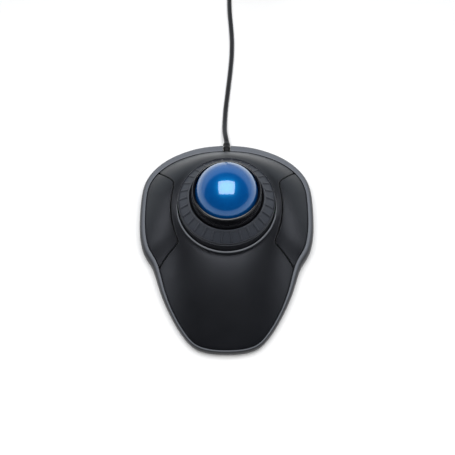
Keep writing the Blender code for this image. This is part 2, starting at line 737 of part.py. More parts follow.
def make_cable(black):
    inner = [(0.0, 57.8, CABLE_EXIT_Z), (0.0, 54.0, 5.9), (0.0, 49.0, 6.7), (0.0, 44.0, 8.2),
             (0.0, 40.0, 8.9), (0.0, 36.3, 9.0)]
    tube("cable_inner_lead", inner, TAIL_STEP, black)
    tube("usb_cable", CABLE_ROUTE, CABLE_STEP, black)
    tube("usb_cable_tail", TAIL_ROUTE, TAIL_STEP, black)
    low, high = COIL_MID_RADIUS - COIL_SECTION[0] / 2, COIL_MID_RADIUS + COIL_SECTION[0] / 2
    bottom, top = 0.1, 0.1 + COIL_SECTION[1]
    corner = 2.0
    profile = [
        (low, bottom + corner), (low, top - corner), (low + corner, top), (high - corner, top),
        (high, top - corner), (high, bottom + corner), (high - corner, bottom),
        (low + corner, bottom),
    ]
    turned("usb_cable_coil", profile, 28, COIL_CENTRE, black, hollow=True)


def make_plug(black, steel, cream):
    """USB plug in line with the end of the cable's tail."""
    end = Vector(TAIL_ROUTE[-1])
    along = end - Vector(TAIL_ROUTE[-2])
    along.z = 0.0
    along.normalize()
    start = end + along * 0.3
    turn = Matrix.Rotation(math.atan2(along.y, along.x), 4, "Z")
    place = Matrix.Translation(start * MM) @ turn

    def block(name, x0, x1, half_width, half_height, material, bevel):
        low, high = (x0, -half_width, -half_height), (x1, half_width, half_height)
        return box(name, low, high, material, bevel)

    grip = block("usb_plug_grip", 9.0, 31.0, 7.4, 3.8, black, 1.0)
    relief = turned("relief", [(2.2, 0.0), (2.9, 10.0)], 12, (0.0, 0.0))
    relief.data.transform(Matrix.Rotation(math.pi / 2, 4, "Y"))
    join(grip, relief)
    shell = block("usb_plug_shell", 31.3, 43.3, 6.0, 2.25, steel, 0.3)
    cut(shell, block("cavity", 32.3, 45.0, 5.6, 1.85, steel, 0.0))
    tongue = block("usb_plug_tongue", 32.6, 42.9, 5.2, 0.8, cream, 0.0)
    tongue.data.transform(Matrix.Translation((0.0, 0.0, 0.7 * MM)))
    for piece in (grip, shell, tongue):
        piece.data.transform(place)


def main():
    clear_scene()
    soft_black = finish("soft_black_plastic", (0.020, 0.021, 0.023), 0.42)
    skirt_grey = finish("skirt_grey_plastic", (0.070, 0.073, 0.080), 0.38)
    gloss_black = finish("gloss_black_plastic", (0.008, 0.008, 0.010), 0.12)
    ring_rubber = finish("ring_rubber", (0.050, 0.052, 0.056), 0.60)
    foot_rubber = finish("foot_rubber", (0.015, 0.015, 0.015), 0.80)
    ball_blue = finish("ball_blue", (0.010, 0.060, 0.420), 0.08)
    cable_black = finish("cable_black", (0.030, 0.030, 0.032), 0.45)
    board_green = finish("board_green", (0.010, 0.120, 0.050), 0.50)
    ceramic = finish("bearing_ceramic", (0.850, 0.840, 0.800), 0.20)
    clear = finish("lens_clear", (0.800, 0.850, 0.880), 0.05)
    chip_black = finish("chip_black", (0.015, 0.015, 0.015), 0.50)
    connector_cream = finish("connector_cream", (0.700, 0.660, 0.550), 0.45)
    steel = finish("steel", (0.600, 0.600, 0.620), 0.30, 1.0)

    make_top_shell(soft_black)
    for side in (-1, 1):
        make_button(side, soft_black)
    make_base_tray(skirt_grey)
    make_feet(foot_rubber)
    make_screws(steel)
    make_ball_socket(skirt_grey)
    make_bearings(ceramic)
    make_trackball(ball_blue)
    make_ball_bezel(gloss_black)
    make_scroll_ring(ring_rubber)
    make_encoder(chip_black)
    make_board(board_green, chip_black, clear, connector_cream)
    make_pins(steel)
    make_strain_relief(cable_black)
    make_cable(cable_black)
    make_plug(cable_black, steel, connector_cream)


main()
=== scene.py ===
"""Looks of the trackball mouse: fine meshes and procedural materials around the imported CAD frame.

Sizes are in millimetres, in the part's own frame, and every mesh is scaled to metres when it
is made. The shapes repeat the part's driving dimensions and are sampled more finely. The seams
beside the buttons are wider than the part's, so that they read as dark lines.
"""

import json
import math

import bmesh
import bpy
import numpy as np
from mathutils import Matrix, Vector


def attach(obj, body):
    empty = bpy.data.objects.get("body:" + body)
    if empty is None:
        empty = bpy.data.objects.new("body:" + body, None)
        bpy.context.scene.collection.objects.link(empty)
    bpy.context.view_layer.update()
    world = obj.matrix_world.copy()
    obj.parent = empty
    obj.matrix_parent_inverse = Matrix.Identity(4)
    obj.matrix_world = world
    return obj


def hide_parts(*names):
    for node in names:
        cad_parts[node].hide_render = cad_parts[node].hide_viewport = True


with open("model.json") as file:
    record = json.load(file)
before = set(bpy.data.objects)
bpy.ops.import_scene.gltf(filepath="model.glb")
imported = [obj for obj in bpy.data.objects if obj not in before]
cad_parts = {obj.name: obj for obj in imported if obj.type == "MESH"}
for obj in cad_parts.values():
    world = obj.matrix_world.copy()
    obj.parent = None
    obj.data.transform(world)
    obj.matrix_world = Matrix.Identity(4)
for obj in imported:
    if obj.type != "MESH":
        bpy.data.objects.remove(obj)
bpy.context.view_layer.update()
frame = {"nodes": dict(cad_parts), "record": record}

MM = 0.001
BASE = "base"

# Ball, socket and ring
RING_Y = 19.5
BALL_RADIUS = 20.0
BALL_Z = 38.0
SOCKET_RADIUS = 20.6
SOCKET_WALL = 1.6
SENSOR_OPENING = 6.0
NECK_OUTER = 31.3
NECK_INNER = 29.7
NECK_TOP = 27.3
NECK_BOTTOM = 13.5
CHANNEL_FLOOR = 17.2
BEZEL_TOP = 43.6
BEZEL_BORE = 20.2
RING_INNER = 23.6
RING_OUTER = 31.3
RING_RIBS = 30
RIB_HEIGHT = 0.9
RIB_HALF_WIDTH = 0.75
RIB_START = 25.0
RIB_END = 30.3

# Casing
RIM_Z = 5.4
TRAY_BOTTOM = 1.2
TRAY_FLOOR = 3.2
LIP_LINE = 0.25
OPENING_RADIUS = 32.0
OPENING_FRONT_Z = 20.5
OPENING_REAR_Z = 28.0
SHELL_THICKNESS = 2.0
CROWN = 1.5
SEAM_GAP = 0.9
EDGE_DEPTH = 1.9
FLARE_REACH = 3.0
FLARE_HEIGHT = 0.55
RIM_HALF = [
    (0.0, 75.0), (20.0, 72.7), (38.0, 65.2), (50.0, 55.0), (56.3, 43.5), (58.0, 29.5),
    (58.0, 13.0), (56.8, 1.0), (53.8, -9.0), (48.6, -16.8), (45.4, -25.5), (41.5, -37.0),
    (36.0, -49.0), (29.4, -60.5), (20.8, -70.8), (10.8, -74.3), (0.0, -75.0),
]
SKIRT_WIDTH = [(-75.0, 1.5), (-48.0, 2.1), (-20.0, 3.7), (0.0, 4.2), (34.0, 4.3), (75.0, 7.8)]
EDGE_HEIGHT = [(-75.0, 9.0), (-45.0, 10.5), (-15.0, 12.3), (10.0, 13.0), (75.0, 12.5)]
BUTTON_SEAM = [
    (56.0, 60.5), (44.1, 47.0), (35.9, 38.0), (34.7, 35.0), (35.6, 28.5), (36.3, 22.0),
    (36.2, 16.0), (35.4, 9.5), (33.6, 2.6), (30.9, -4.6), (31.4, -6.8), (35.2, -10.8),
    (39.2, -15.2), (42.4, -19.6), (46.0, -26.0),
]
HINGE_X = 39.0
HINGE_Z = 15.8
HINGE_Y = (8.0, 31.0)
LUG_WIDTH = 2.4
LUG_GAP = 0.5
LUG_HALF_LENGTH = 1.7
LUG_DROP = 1.8
ARM_INSET = 0.4
PIN_BORE = 1.1
SWITCH_PLACE = (44.6, 20.0)
PAD_BOTTOM = 14.3
SHELL_BOSSES = [(30.0, 53.0), (26.0, -37.0)]
FEET = [(41.0, 38.0), (22.0, -55.0)]
FOOT_RADIUS = 6.0

LEDGE_REACH = (-0.75, 1.1)
LEDGE_DROP = 3.5
LEDGE_THICKNESS = 0.5

# Fineness of the meshes
RIM_STEPS = 528
EDGE_SPACING = 0.75
TURN_STEPS = 192
EDGE_ROUNDING = 0.4
COLLAR_ROUNDING = 1.0
COLLAR_STEPS = 288
COLLAR_FADE = 0.30
COLLAR_SINK = 0.5

# Cable, coil and plug
CABLE_DIAMETER = 3.4
CABLE_EXIT_Z = 5.8
RELIEF_START = 58.1
CABLE_ROUTE = [
    (0.0, 79.3, CABLE_EXIT_Z), (-0.5, 82.5, 5.5), (-1.1, 86.5, 4.7), (-1.5, 92.0, 3.3),
    (-1.4, 98.0, 2.2), (-1.1, 105.0, 1.8), (-0.6, 112.0, 1.8), (0.2, 120.0, 1.8), (1.1, 129.0, 1.8),
    (2.0, 138.0, 1.8), (3.0, 149.0, 1.8), (3.8, 161.0, 1.8), (4.0, 174.0, 1.8),
    (3.4, 187.0, 1.8), (2.5, 200.0, 1.8), (2.0, 213.0, 1.8), (2.2, 226.0, 1.8),
    (2.4, 235.2, 1.8),
]
TAIL_ROUTE = [
    (39.3, 271.8, 11.6), (43.0, 271.8, 10.9), (48.0, 271.7, 8.6), (53.0, 271.2, 6.0),
    (58.0, 270.2, 4.3), (62.0, 269.2, 3.9),
]
COIL_CENTRE = (26.0, 248.0)
COIL_MID_RADIUS = 18.8
COIL_LAYERS = 4
COIL_FLOOR = 1.8
COIL_TURNS = 13.25
CROSSING_START = 0.72

# Camera
CAMERA_PLACE = (0.00057, -0.19866, 0.43158)
CAMERA_TILT = math.radians(26.292)
CAMERA_ANGLE = math.radians(35.414)

# Light, in metres and watts
SOFTBOX_PLACE = (0.0, -0.0855, 1.038)
SOFTBOX_SIZE = (1.10, 0.92)
SOFTBOX_POWER = 17.5
CARD_PLACE = (0.0, -0.0850, 1.033)
CARD_POWER = 27.0
REAR_CARD_PLACE = (0.0, 0.442, 0.944)
REAR_CARD_SIZE = (0.34, 0.26)
REAR_CARD_POWER = 3.5
SIDE_CARD_PLACE = (0.80, 0.22, 0.66)
SIDE_CARD_SIZE = (0.45, 0.40)
SIDE_CARD_POWER = 1.7
WALL_LEAN = 0.68
WALL_TOP = (-0.06, 0.14)
SIDE_WALL = 1.0
REAR_WALL = 0.85
ROOM_DARK = 0.02
ROOM_TINT = (0.86, 0.96, 1.08, 1.0)
CARD_TINT = (0.86, 0.90, 1.0)

# Painted shade of the skirt: the darker colour painted on its walls, and the upward tilt over which it
# gives way to the lighter colour of its lip and upward faces
SKIRT_WALL_SHADE_COLOUR = (0.018, 0.019, 0.023, 1.0)
SKIRT_SHADE_TILT = (0.50, 0.88)

# Pieces that the mirrored card lights, and pieces that the rear and side cards light
POLISHED = bpy.data.collections.new("polished_pieces")
SATIN = bpy.data.collections.new("satin_pieces")


# ---------------------------------------------------------------- meshes


def make(name, points, faces, material, angle=40.0):
    """Smooth-shaded mesh object from points in millimetres, with its faces turned outwards."""
    mesh = bpy.data.meshes.new(name)
    mesh.from_pydata([Vector(point) * MM for point in points], [], faces)
    shape = bmesh.new()
    shape.from_mesh(mesh)
    bmesh.ops.recalc_face_normals(shape, faces=shape.faces)
    shape.to_mesh(mesh)
    shape.free()
    mesh.materials.append(material)
    mesh.shade_smooth()
    mesh.set_sharp_from_angle(angle=math.radians(angle))
    made = bpy.data.objects.new(name, mesh)
    bpy.context.scene.collection.objects.link(made)
    return made


def skin(rows, closed_rows=False, closed_columns=True):
    """Points and quads of a grid of equal rows."""
    rows = [np.asarray(row, float) for row in rows]
    size = len(rows[0])
    points = np.vstack(rows)
    faces = []
    for row in range(len(rows) if closed_rows else len(rows) - 1):
        here = row * size
        there = (row + 1) % len(rows) * size
        for column in range(size if closed_columns else size - 1):
            after = (column + 1) % size
            faces.append((here + column, here + after, there + after, there + column))
    return points, faces


def lofted(name, rows, material, closed=False, angle=40.0):
    """Skin over closed loops, capped at both ends or joined end to end."""
    points, faces = skin(rows, closed_rows=closed)
    if not closed:
        size = len(rows[0])
        faces.append(tuple(range(size)))
        faces.append(tuple(range(len(points) - size, len(points))))
    return make(name, points, faces, material, angle)


def circle(radius, height, centre=(0.0, RING_Y), steps=TURN_STEPS):
    angles = np.arange(steps) * 2.0 * math.pi / steps
    return np.stack(
        [centre[0] + radius * np.cos(angles), centre[1] + radius * np.sin(angles),
         np.full(steps, height)], axis=1)


def turned(name, profile, material, centre=(0.0, RING_Y), steps=TURN_STEPS, hollow=False,
           angle=40.0):
    """Turns (radius, height) points about a vertical line."""
    rows = [circle(radius, height, centre, steps) for radius, height in profile]
    return lofted(name, rows, material, closed=hollow, angle=angle)


def rounded(profile, radius, closed=True, steps=5):
    """Profile with its corners turned into arcs, as far as its sides leave room."""
    spots = [np.array(spot, float) for spot in profile]
    count = len(spots)
    result = []
    for i, here in enumerate(spots):
        if not closed and i in (0, count - 1):
            result.append(tuple(here))
            continue
        before = spots[i - 1] - here
        after = spots[(i + 1) % count] - here
        near = min(radius, 0.45 * np.linalg.norm(before), 0.45 * np.linalg.norm(after))
        start = here + before / np.linalg.norm(before) * near
        end = here + after / np.linalg.norm(after) * near
        for t in np.linspace(0.0, 1.0, steps):
            result.append(tuple((1 - t) ** 2 * start + 2 * t * (1 - t) * here + t**2 * end))
    return result


def spline(points, closed=False, steps=12):
    """Catmull-Rom curve through the points."""
    spots = np.array(points, float)
    count = len(spots)
    pieces = []
    for i in range(count if closed else count - 1):
        if closed:
            a, b, c, d = (spots[(i + k) % count] for k in (-1, 0, 1, 2))
        else:
            a, b, c, d = (spots[min(max(i + k, 0), count - 1)] for k in (-1, 0, 1, 2))
        for t in np.arange(steps) / steps:
            pieces.append(
                0.5 * (2 * b + (c - a) * t + (2 * a - 5 * b + 4 * c - d) * t**2
                       + (3 * b - a - 3 * c + d) * t**3)
            )
    if not closed:
        pieces.append(spots[-1])
    return np.array(pieces)


def evenly(path, count, closed=False):
    """Points at equal distances along a path."""
    whole = np.vstack([path, path[:1]]) if closed else np.asarray(path)
    lengths = np.concatenate([[0.0], np.cumsum(np.linalg.norm(np.diff(whole, axis=0), axis=1))])
    wanted = np.linspace(0.0, lengths[-1], count + 1 if closed else count)
    if closed:
        wanted = wanted[:-1]
    return np.stack([np.interp(wanted, lengths, whole[:, k]) for k in range(whole.shape[1])], axis=1)


def softened(loop, passes):
    """Closed loop with its corners and wiggles averaged out."""
    for _ in range(passes):
        loop = 0.5 * loop + 0.25 * (np.roll(loop, 1, axis=0) + np.roll(loop, -1, axis=0))
    return loop


def length_of(path):
    return float(np.linalg.norm(np.diff(path, axis=0), axis=1).sum())


def inward(loop):
    """Unit normals of a closed outline in plan, towards its inside."""
    along = np.roll(loop, -1, axis=0) - np.roll(loop, 1, axis=0)
    along /= np.linalg.norm(along, axis=1)[:, None]
    normal = np.stack([-along[:, 1], along[:, 0]], axis=1)
    x, y = loop[:, 0], loop[:, 1]
    area = float(np.sum(x * np.roll(y, -1) - y * np.roll(x, -1)))
    return normal if area > 0.0 else -normal


def at_y(table, y):
    return np.interp(y, [row[0] for row in table], [row[1] for row in table])


def raise_to(plan, heights):
    return np.column_stack([plan, np.broadcast_to(heights, len(plan))])


# ---------------------------------------------------------------- casing's form

LEFT_HALF = [(-x, y) for x, y in RIM_HALF[-2:0:-1]]
RIM = softened(evenly(spline(RIM_HALF + LEFT_HALF, closed=True), RIM_STEPS, closed=True), 30)
RIM_INWARD = inward(RIM)
RIM_WIDTH = at_y(SKIRT_WIDTH, RIM[:, 1])
RIM_EDGE_Z = at_y(EDGE_HEIGHT, RIM[:, 1])
SHELL_EDGE = RIM + RIM_INWARD * (RIM_WIDTH + LIP_LINE)[:, None]
RING_PLAN = np.array([0.0, RING_Y])


def polar(plan):
    offset = np.asarray(plan) - RING_PLAN
    return np.arctan2(offset[..., 1], offset[..., 0]), np.linalg.norm(offset, axis=-1)


EDGE_ANGLES, EDGE_REACH = polar(SHELL_EDGE)


def shell_height(plan):
    """Height of the top shell's outer side at places seen from above."""
    angle, radius = polar(plan)
    reach = np.interp(angle, EDGE_ANGLES, EDGE_REACH, period=2.0 * math.pi)
    edge_z = np.interp(angle, EDGE_ANGLES, RIM_EDGE_Z, period=2.0 * math.pi)
    share = np.clip((radius - OPENING_RADIUS) / (reach - OPENING_RADIUS), 0.0, 1.0)
    middle = 0.5 * (OPENING_FRONT_Z + OPENING_REAR_Z)
    opening_z = middle + 0.5 * (OPENING_REAR_Z - OPENING_FRONT_Z) * np.sin(angle)
    return edge_z + (opening_z - edge_z) * (1.0 - share**CROWN)


def height_at(x, y):
    """Height of the top shell's outer side at one place."""
    return float(shell_height(np.array([[x, y]]))[0])


def seam_line(grow):
    """The right button's seam moved away from the button by grow, and cut off at the shell's edge."""
    seam = evenly(softened_open(spline(BUTTON_SEAM, steps=8), 3), 260)
    along = np.gradient(seam, axis=0)
    along /= np.linalg.norm(along, axis=1)[:, None]
    seam = seam + np.stack([along[:, 1], -along[:, 0]], axis=1) * grow
    angle, radius = polar(seam)
    inside = radius < np.interp(angle, EDGE_ANGLES, EDGE_REACH, period=2.0 * math.pi)
    return seam[inside]


def softened_open(path, passes):
    for _ in range(passes):
        inner = 0.5 * path[1:-1] + 0.25 * (path[:-2] + path[2:])
        path = np.vstack([path[:1], inner, path[-1:]])
    return path


def edge_between(low, high):
    """The shell's edge, anticlockwise from one angle about the ring's axis to another."""
    turn = 2.0 * math.pi
    angles = (EDGE_ANGLES - low) % turn
    order = np.argsort(angles)
    kept = [i for i in order if 0.0 < angles[i] < (high - low) % turn]
    return SHELL_EDGE[kept]


def edge_rounding(distance, radius):
    """How far a rounded edge has dropped, at a distance inside its outline."""
    left = np.clip(radius - distance, 0.0, radius)
    return radius - np.sqrt(np.maximum(radius**2 - left**2, 0.0))


ROUNDING_STEPS = [0.0, 0.03, 0.08, 0.16, 0.27, EDGE_ROUNDING]


def rounded_edge(outline, normals):
    """Rows of points up the side of an outline and over its rounded edge."""
    rows = [raise_to(outline, shell_height(outline) - drop) for drop in (EDGE_DEPTH, EDGE_ROUNDING)]
    for distance in ROUNDING_STEPS:
        plan = outline + normals * distance
        rows.append(raise_to(plan, shell_height(plan) - edge_rounding(distance, EDGE_ROUNDING)))
    return rows


def shell_outline():
    """Outer boundary of the top shell in plan, along its edge and both button seams."""
    right = seam_line(SEAM_GAP / 2)[::-1]
    left = right[::-1] * np.array([-1.0, 1.0])
    front, _ = polar(right[0])
    rear, _ = polar(right[-1])
    back = edge_between(float(rear), math.pi - float(rear))
    nose = edge_between(math.pi - float(front), float(front))
    loop = np.vstack([right, back, left, nose])
    count = round(length_of(loop) / EDGE_SPACING)
    return softened(evenly(loop, count, closed=True), 4)


def collar(distance):
    """Small flare of the shell towards the ring's opening."""
    near = np.clip(1.0 - distance / FLARE_REACH, 0.0, 1.0)
    return FLARE_HEIGHT * near**2


def make_top_shell(material):
    """Shell from its outer edge in to the ring's opening and back below, with its hinge arms."""
    outline = shell_outline()
    normals = inward(outline)
    rows = rounded_edge(outline, normals)
    start = outline + normals * EDGE_ROUNDING
    angle, radius = polar(start)
    direction = np.stack([np.cos(angle), np.sin(angle)], axis=1)
    room = radius - OPENING_RADIUS
    near = np.minimum(3.2, 0.7 * room)
    for share in np.linspace(0.0, 1.0, 27)[1:]:
        reach = radius + (OPENING_RADIUS + near - radius) * share
        rows.append(shell_row(direction, reach, reach - OPENING_RADIUS))
    for share in (0.82, 0.66, 0.52, 0.4, 0.3, 0.22, 0.15, 0.09, 0.04, 0.01, 0.0):
        distance = near * share
        rows.append(shell_row(direction, OPENING_RADIUS + distance, distance))
    low = rows[-1].copy()
    low[:, 2] -= 1.4
    rows.append(low)
    for share in np.linspace(0.0, 1.0, 7)[1:-1]:
        reach = OPENING_RADIUS + (radius - OPENING_RADIUS) * share
        plan = RING_PLAN + direction * reach[:, None]
        rows.append(raise_to(plan, shell_height(plan) - SHELL_THICKNESS))
    shell = lofted("top_shell_skin", rows, material, closed=True, angle=50.0)
    inset = LUG_WIDTH / 2 + ARM_INSET
    for side in (-1, 1):
        for y in (HINGE_Y[0] + inset, HINGE_Y[1] - inset):
            absorb(shell, make_hinge_arm(side, y, material))
    return shell


def make_collar(material):
    """Rounded bead round the front of the ring's opening, which dies away at its sides."""
    bead = [(0.0, -1.6), (0.0, -0.2), (0.06, 0.1), (0.2, 0.28), (0.42, 0.4), (0.68, 0.42),
            (0.94, 0.34), (1.18, 0.16), (1.36, -0.08), (1.5, -0.4), (1.5, -1.4)]
    angles = np.arange(COLLAR_STEPS) * 2.0 * math.pi / COLLAR_STEPS
    direction = np.stack([np.cos(angles), np.sin(angles)], axis=1)
    fade = np.clip(COLLAR_FADE - direction[:, 1], 0.0, 1.0)
    rows = []
    for distance, height in bead:
        plan = RING_PLAN + direction * (OPENING_RADIUS + distance)
        lift = height * fade - COLLAR_SINK * (1.0 - fade)
        rows.append(raise_to(plan, shell_height(plan) + collar(distance) + lift))
    return lofted("top_shell_collar", rows, material, closed=True, angle=60.0)


def shell_row(direction, reach, distance):
    plan = RING_PLAN + direction * reach[:, None]
    heights = shell_height(plan) + collar(distance) - edge_rounding(distance, COLLAR_ROUNDING)
    return raise_to(plan, heights)


def make_button(side, material):
    """Button cap: rounded all round, gridded above and below, with its hinge lugs and its pad."""
    seam = seam_line(-SEAM_GAP / 2)
    rear, _ = polar(seam[0])
    front, _ = polar(seam[-1])
    outer = edge_between(float(front), float(rear))
    count = round(length_of(seam) / EDGE_SPACING)
    loop = np.vstack([evenly(seam, count), evenly(outer, count + 2)[1:-1]])
    loop = softened(loop, 3)
    points, faces = skin(rounded_edge(loop, inward(loop)))
    points = draped(points, faces, len(points) - len(loop), count, 0.0)
    points = draped(points, faces, 0, count, EDGE_DEPTH)
    name = "left_button_cap_skin" if side < 0 else "right_button_cap_skin"
    button = make(name, points, faces, material, 50.0)
    inset = ARM_INSET + 1.5 * LUG_WIDTH + LUG_GAP
    for y in (HINGE_Y[0] + inset, HINGE_Y[1] - inset):
        low, high = y - LUG_WIDTH / 2, y + LUG_WIDTH / 2
        lug = block("lug", (HINGE_X - LUG_HALF_LENGTH, low, HINGE_Z - LUG_DROP),
                    (HINGE_X + LUG_HALF_LENGTH, high, height_at(HINGE_X, y) - 1.0), material)
        subtract(lug, pin_bore(low, high, material))
        absorb(button, lug)
    pad_top = height_at(*SWITCH_PLACE) - 1.0
    pad = [(0.9, PAD_BOTTOM), (1.4, PAD_BOTTOM + 0.1), (1.6, PAD_BOTTOM + 0.4), (1.6, pad_top)]
    absorb(button, turned("pad", pad, material, SWITCH_PLACE, steps=32))
    return mirrored(button) if side < 0 else button


def draped(points, faces, first, count, drop):
    """Fills a button's loop, whose seam side has count points, with a grid under the shell's surface."""
    steps = 30
    plan = points[first:first + 2 * count, :2]
    seam_side = plan[:count]
    edge_side = plan[count:][::-1]
    start = len(points)
    grid = []
    for share in np.linspace(0.0, 1.0, steps + 1)[1:-1]:
        middle = seam_side + (edge_side - seam_side) * share
        grid.append(raise_to(middle, shell_height(middle) - drop))

    def index(row, column):
        if row == 0:
            return first + column
        if row == steps:
            return first + 2 * count - 1 - column
        return start + (row - 1) * count + column

    for row in range(steps):
        for column in range(count - 1):
            faces.append((index(row, column), index(row, column + 1),
                          index(row + 1, column + 1), index(row + 1, column)))
    for column in (0, count - 1):
        faces.append(tuple(index(row, column) for row in range(steps + 1)))
    return np.vstack([points] + grid)


def pin_bore(low, high, material):
    return lengthwise("bore", [(PIN_BORE, 0.0), (PIN_BORE, high - low + 2.0)],
                      (HINGE_X, low - 1.0, HINGE_Z), (0.0, 1.0, 0.0), material, steps=32)


def mirrored(made):
    """Turns a right-hand mesh into the left-hand one."""
    made.data.transform(Matrix.Scale(-1.0, 4, (1.0, 0.0, 0.0)))
    made.data.flip_normals()
    return made


def absorb(target, extra):
    """Adds another object's mesh to the target and removes that object."""
    merged = bmesh.new()
    merged.from_mesh(target.data)
    merged.from_mesh(extra.data)
    merged.to_mesh(target.data)
    merged.free()
    bpy.data.objects.remove(extra, do_unlink=True)


def make_hinge_arm(side, y, material):
    """Bracket under the shell that holds one end of a button's pin."""
    low, high = y - LUG_WIDTH / 2, y + LUG_WIDTH / 2
    top = height_at(34.4, y) - 0.8
    bottom, shelf, reach = HINGE_Z - LUG_DROP, HINGE_Z + 1.3, HINGE_X + 1.5
    profile = [(33.4, bottom), (reach, bottom), (reach, shelf), (35.0, shelf), (34.8, top),
               (33.4, top)]
    rows = [[(x, face, z) for x, z in rounded(profile, 0.3, steps=3)] for face in (low, high)]
    arm = lofted("hinge_arm", rows, material)
    subtract(arm, pin_bore(low, high, material))
    return mirrored(arm) if side < 0 else arm


def make_seam_ledge(side, material):
    """Guessed ledge under a button's seam, which hides the circuit board from above."""
    rows = []
    near, far = LEDGE_REACH
    for grow, drop in ((near, LEDGE_DROP), (far, LEDGE_DROP), (far, LEDGE_DROP + LEDGE_THICKNESS),
                       (near, LEDGE_DROP + LEDGE_THICKNESS)):
        line = evenly(seam_line(grow), 120)
        row = raise_to(line, shell_height(line) - drop)
        rows.append(row * np.array([side, 1.0, 1.0]))
    points, faces = skin(rows, closed_rows=True, closed_columns=False)
    size = len(rows[0])
    faces += [tuple(size * row for row in range(4)), tuple(size * row + size - 1 for row in range(4))]
    name = "seam_ledge_left" if side < 0 else "seam_ledge_right"
    return make(name, points, faces, material)


def make_tray(material):
    """Floor and flared skirt, with the notch that the strain relief lies in."""
    def loop(offset, height):
        return raise_to(RIM + RIM_INWARD * np.broadcast_to(offset, RIM_STEPS)[:, None], height)

    inset, lip, lip_rise = 2.8, 0.35, 0.2
    rows = [loop(inset, TRAY_BOTTOM)]
    for angle in np.radians(np.linspace(15.0, 90.0, 8)):
        rows.append(loop(inset * (1.0 - math.sin(angle)),
                         RIM_Z - (RIM_Z - TRAY_BOTTOM) * math.cos(angle)))
    rise = RIM_EDGE_Z + lip_rise - RIM_Z
    for angle in np.radians(np.linspace(5.0, 84.0, 18)):
        rows.append(loop((RIM_WIDTH - lip) * (1.0 - math.cos(angle)),
                         RIM_Z + rise * math.sin(angle)))
    for angle in np.radians(np.linspace(0.0, 90.0, 6)):
        rows.append(loop(RIM_WIDTH - lip * (1.0 - math.sin(angle)),
                         RIM_EDGE_Z + lip_rise - lip * (1.0 - math.cos(angle))))
    rows += [loop(RIM_WIDTH, RIM_EDGE_Z - 2.0), loop(2.1, 5.8), loop(3.0, TRAY_FLOOR)]
    tray = lofted("base_tray_skirt", rows, material, angle=40.0)
    subtract(tray, block("notch", (-3.1, 57.0, 2.6), (3.1, 64.0, 20.0), material))
    subtract(tray, block("notch", (-2.6, 63.0, 2.6), (2.6, 82.0, 20.0), material))
    for side in (-1, 1):
        for x, y in SHELL_BOSSES:
            recess = [(3.0, 0.5), (3.0, 2.9)]
            subtract(tray, turned("recess", recess, material, (side * x, y), steps=48))
        for x, y in FEET:
            recess = [(FOOT_RADIUS + 0.3, 0.5), (FOOT_RADIUS + 0.3, 1.7)]
            subtract(tray, turned("recess", recess, material, (side * x, y), steps=96))
    return tray


def block(name, low, high, material):
    rows = [[(low[0], low[1], z), (high[0], low[1], z), (high[0], high[1], z), (low[0], high[1], z)]
            for z in (low[2], high[2])]
    return lofted(name, rows, material)


# ---------------------------------------------------------------- materials


def new_material(name, metallic=0.0, roughness=0.5):
    material = bpy.data.materials.new(name)
    material.use_nodes = True
    shader = material.node_tree.nodes["Principled BSDF"]
    shader.inputs["Metallic"].default_value = metallic
    shader.inputs["Roughness"].default_value = roughness
    return material, shader


def noise(tree, scale, detail=3.0, rough=0.55):
    """Noise in the object's own metres."""
    place = tree.nodes.new("ShaderNodeTexCoord")
    texture = tree.nodes.new("ShaderNodeTexNoise")
    texture.inputs["Scale"].default_value = scale
    texture.inputs["Detail"].default_value = detail
    texture.inputs["Roughness"].default_value = rough
    tree.links.new(place.outputs["Object"], texture.inputs["Vector"])
    return texture.outputs["Fac"]


def spread(tree, value, low, high, start=0.3, end=0.7):
    """Maps a varying value to a range."""
    mapper = tree.nodes.new("ShaderNodeMapRange")
    mapper.inputs["From Min"].default_value = start
    mapper.inputs["From Max"].default_value = end
    mapper.inputs["To Min"].default_value = low
    mapper.inputs["To Max"].default_value = high
    tree.links.new(value, mapper.inputs["Value"])
    return mapper.outputs["Result"]


def mottled(tree, value, dark, light, start=0.3, end=0.7):
    """Two colours mixed by a varying value."""
    ramp = tree.nodes.new("ShaderNodeValToRGB")
    ramp.color_ramp.elements[0].position = start
    ramp.color_ramp.elements[1].position = end
    ramp.color_ramp.elements[0].color = (*dark, 1.0)
    ramp.color_ramp.elements[1].color = (*light, 1.0)
    tree.links.new(value, ramp.inputs["Fac"])
    return ramp.outputs["Color"]


def bumped(tree, shader, layers):
    """Stacks bumps; each layer is (height value, strength, distance in metres)."""
    normal = None
    for value, strength, distance in layers:
        bump = tree.nodes.new("ShaderNodeBump")
        bump.inputs["Strength"].default_value = strength
        bump.inputs["Distance"].default_value = distance
        tree.links.new(value, bump.inputs["Height"])
        if normal:
            tree.links.new(normal, bump.inputs["Normal"])
        normal = bump.outputs["Normal"]
    tree.links.new(normal, shader.inputs["Normal"])


def moulded(name, dark, light, roughness, grain=2600.0, depth=0.00004, strength=0.25, gloss=0.5):
    """Moulded plastic or rubber: spark-eroded grain, slight colour drift and handling sheen."""
    material, shader = new_material(name, roughness=roughness[0])
    shader.inputs["Specular IOR Level"].default_value = gloss
    tree = material.node_tree
    tree.links.new(mottled(tree, noise(tree, 45.0), dark, light), shader.inputs["Base Color"])
    smudge = noise(tree, 70.0, 4.0, 0.6)
    tree.links.new(spread(tree, smudge, *roughness), shader.inputs["Roughness"])
    fine = noise(tree, grain, 2.0, 0.5)
    coarse = noise(tree, 380.0, 2.0, 0.5)
    bumped(tree, shader, [(coarse, 0.5 * strength, depth), (fine, strength, depth)])
    return material


def soft_touch():
    """Soft-touch paint of the shell and buttons, with a faint velvet sheen."""
    material = moulded("soft_black_plastic", (0.0030, 0.0032, 0.0044), (0.0040, 0.0043, 0.0058),
                       (0.34, 0.40), gloss=0.45)
    shader = material.node_tree.nodes["Principled BSDF"]
    shader.inputs["Sheen Weight"].default_value = 0.10
    shader.inputs["Sheen Roughness"].default_value = 0.45
    shader.inputs["Sheen Tint"].default_value = (0.86, 0.93, 1.0, 1.0)
    return material


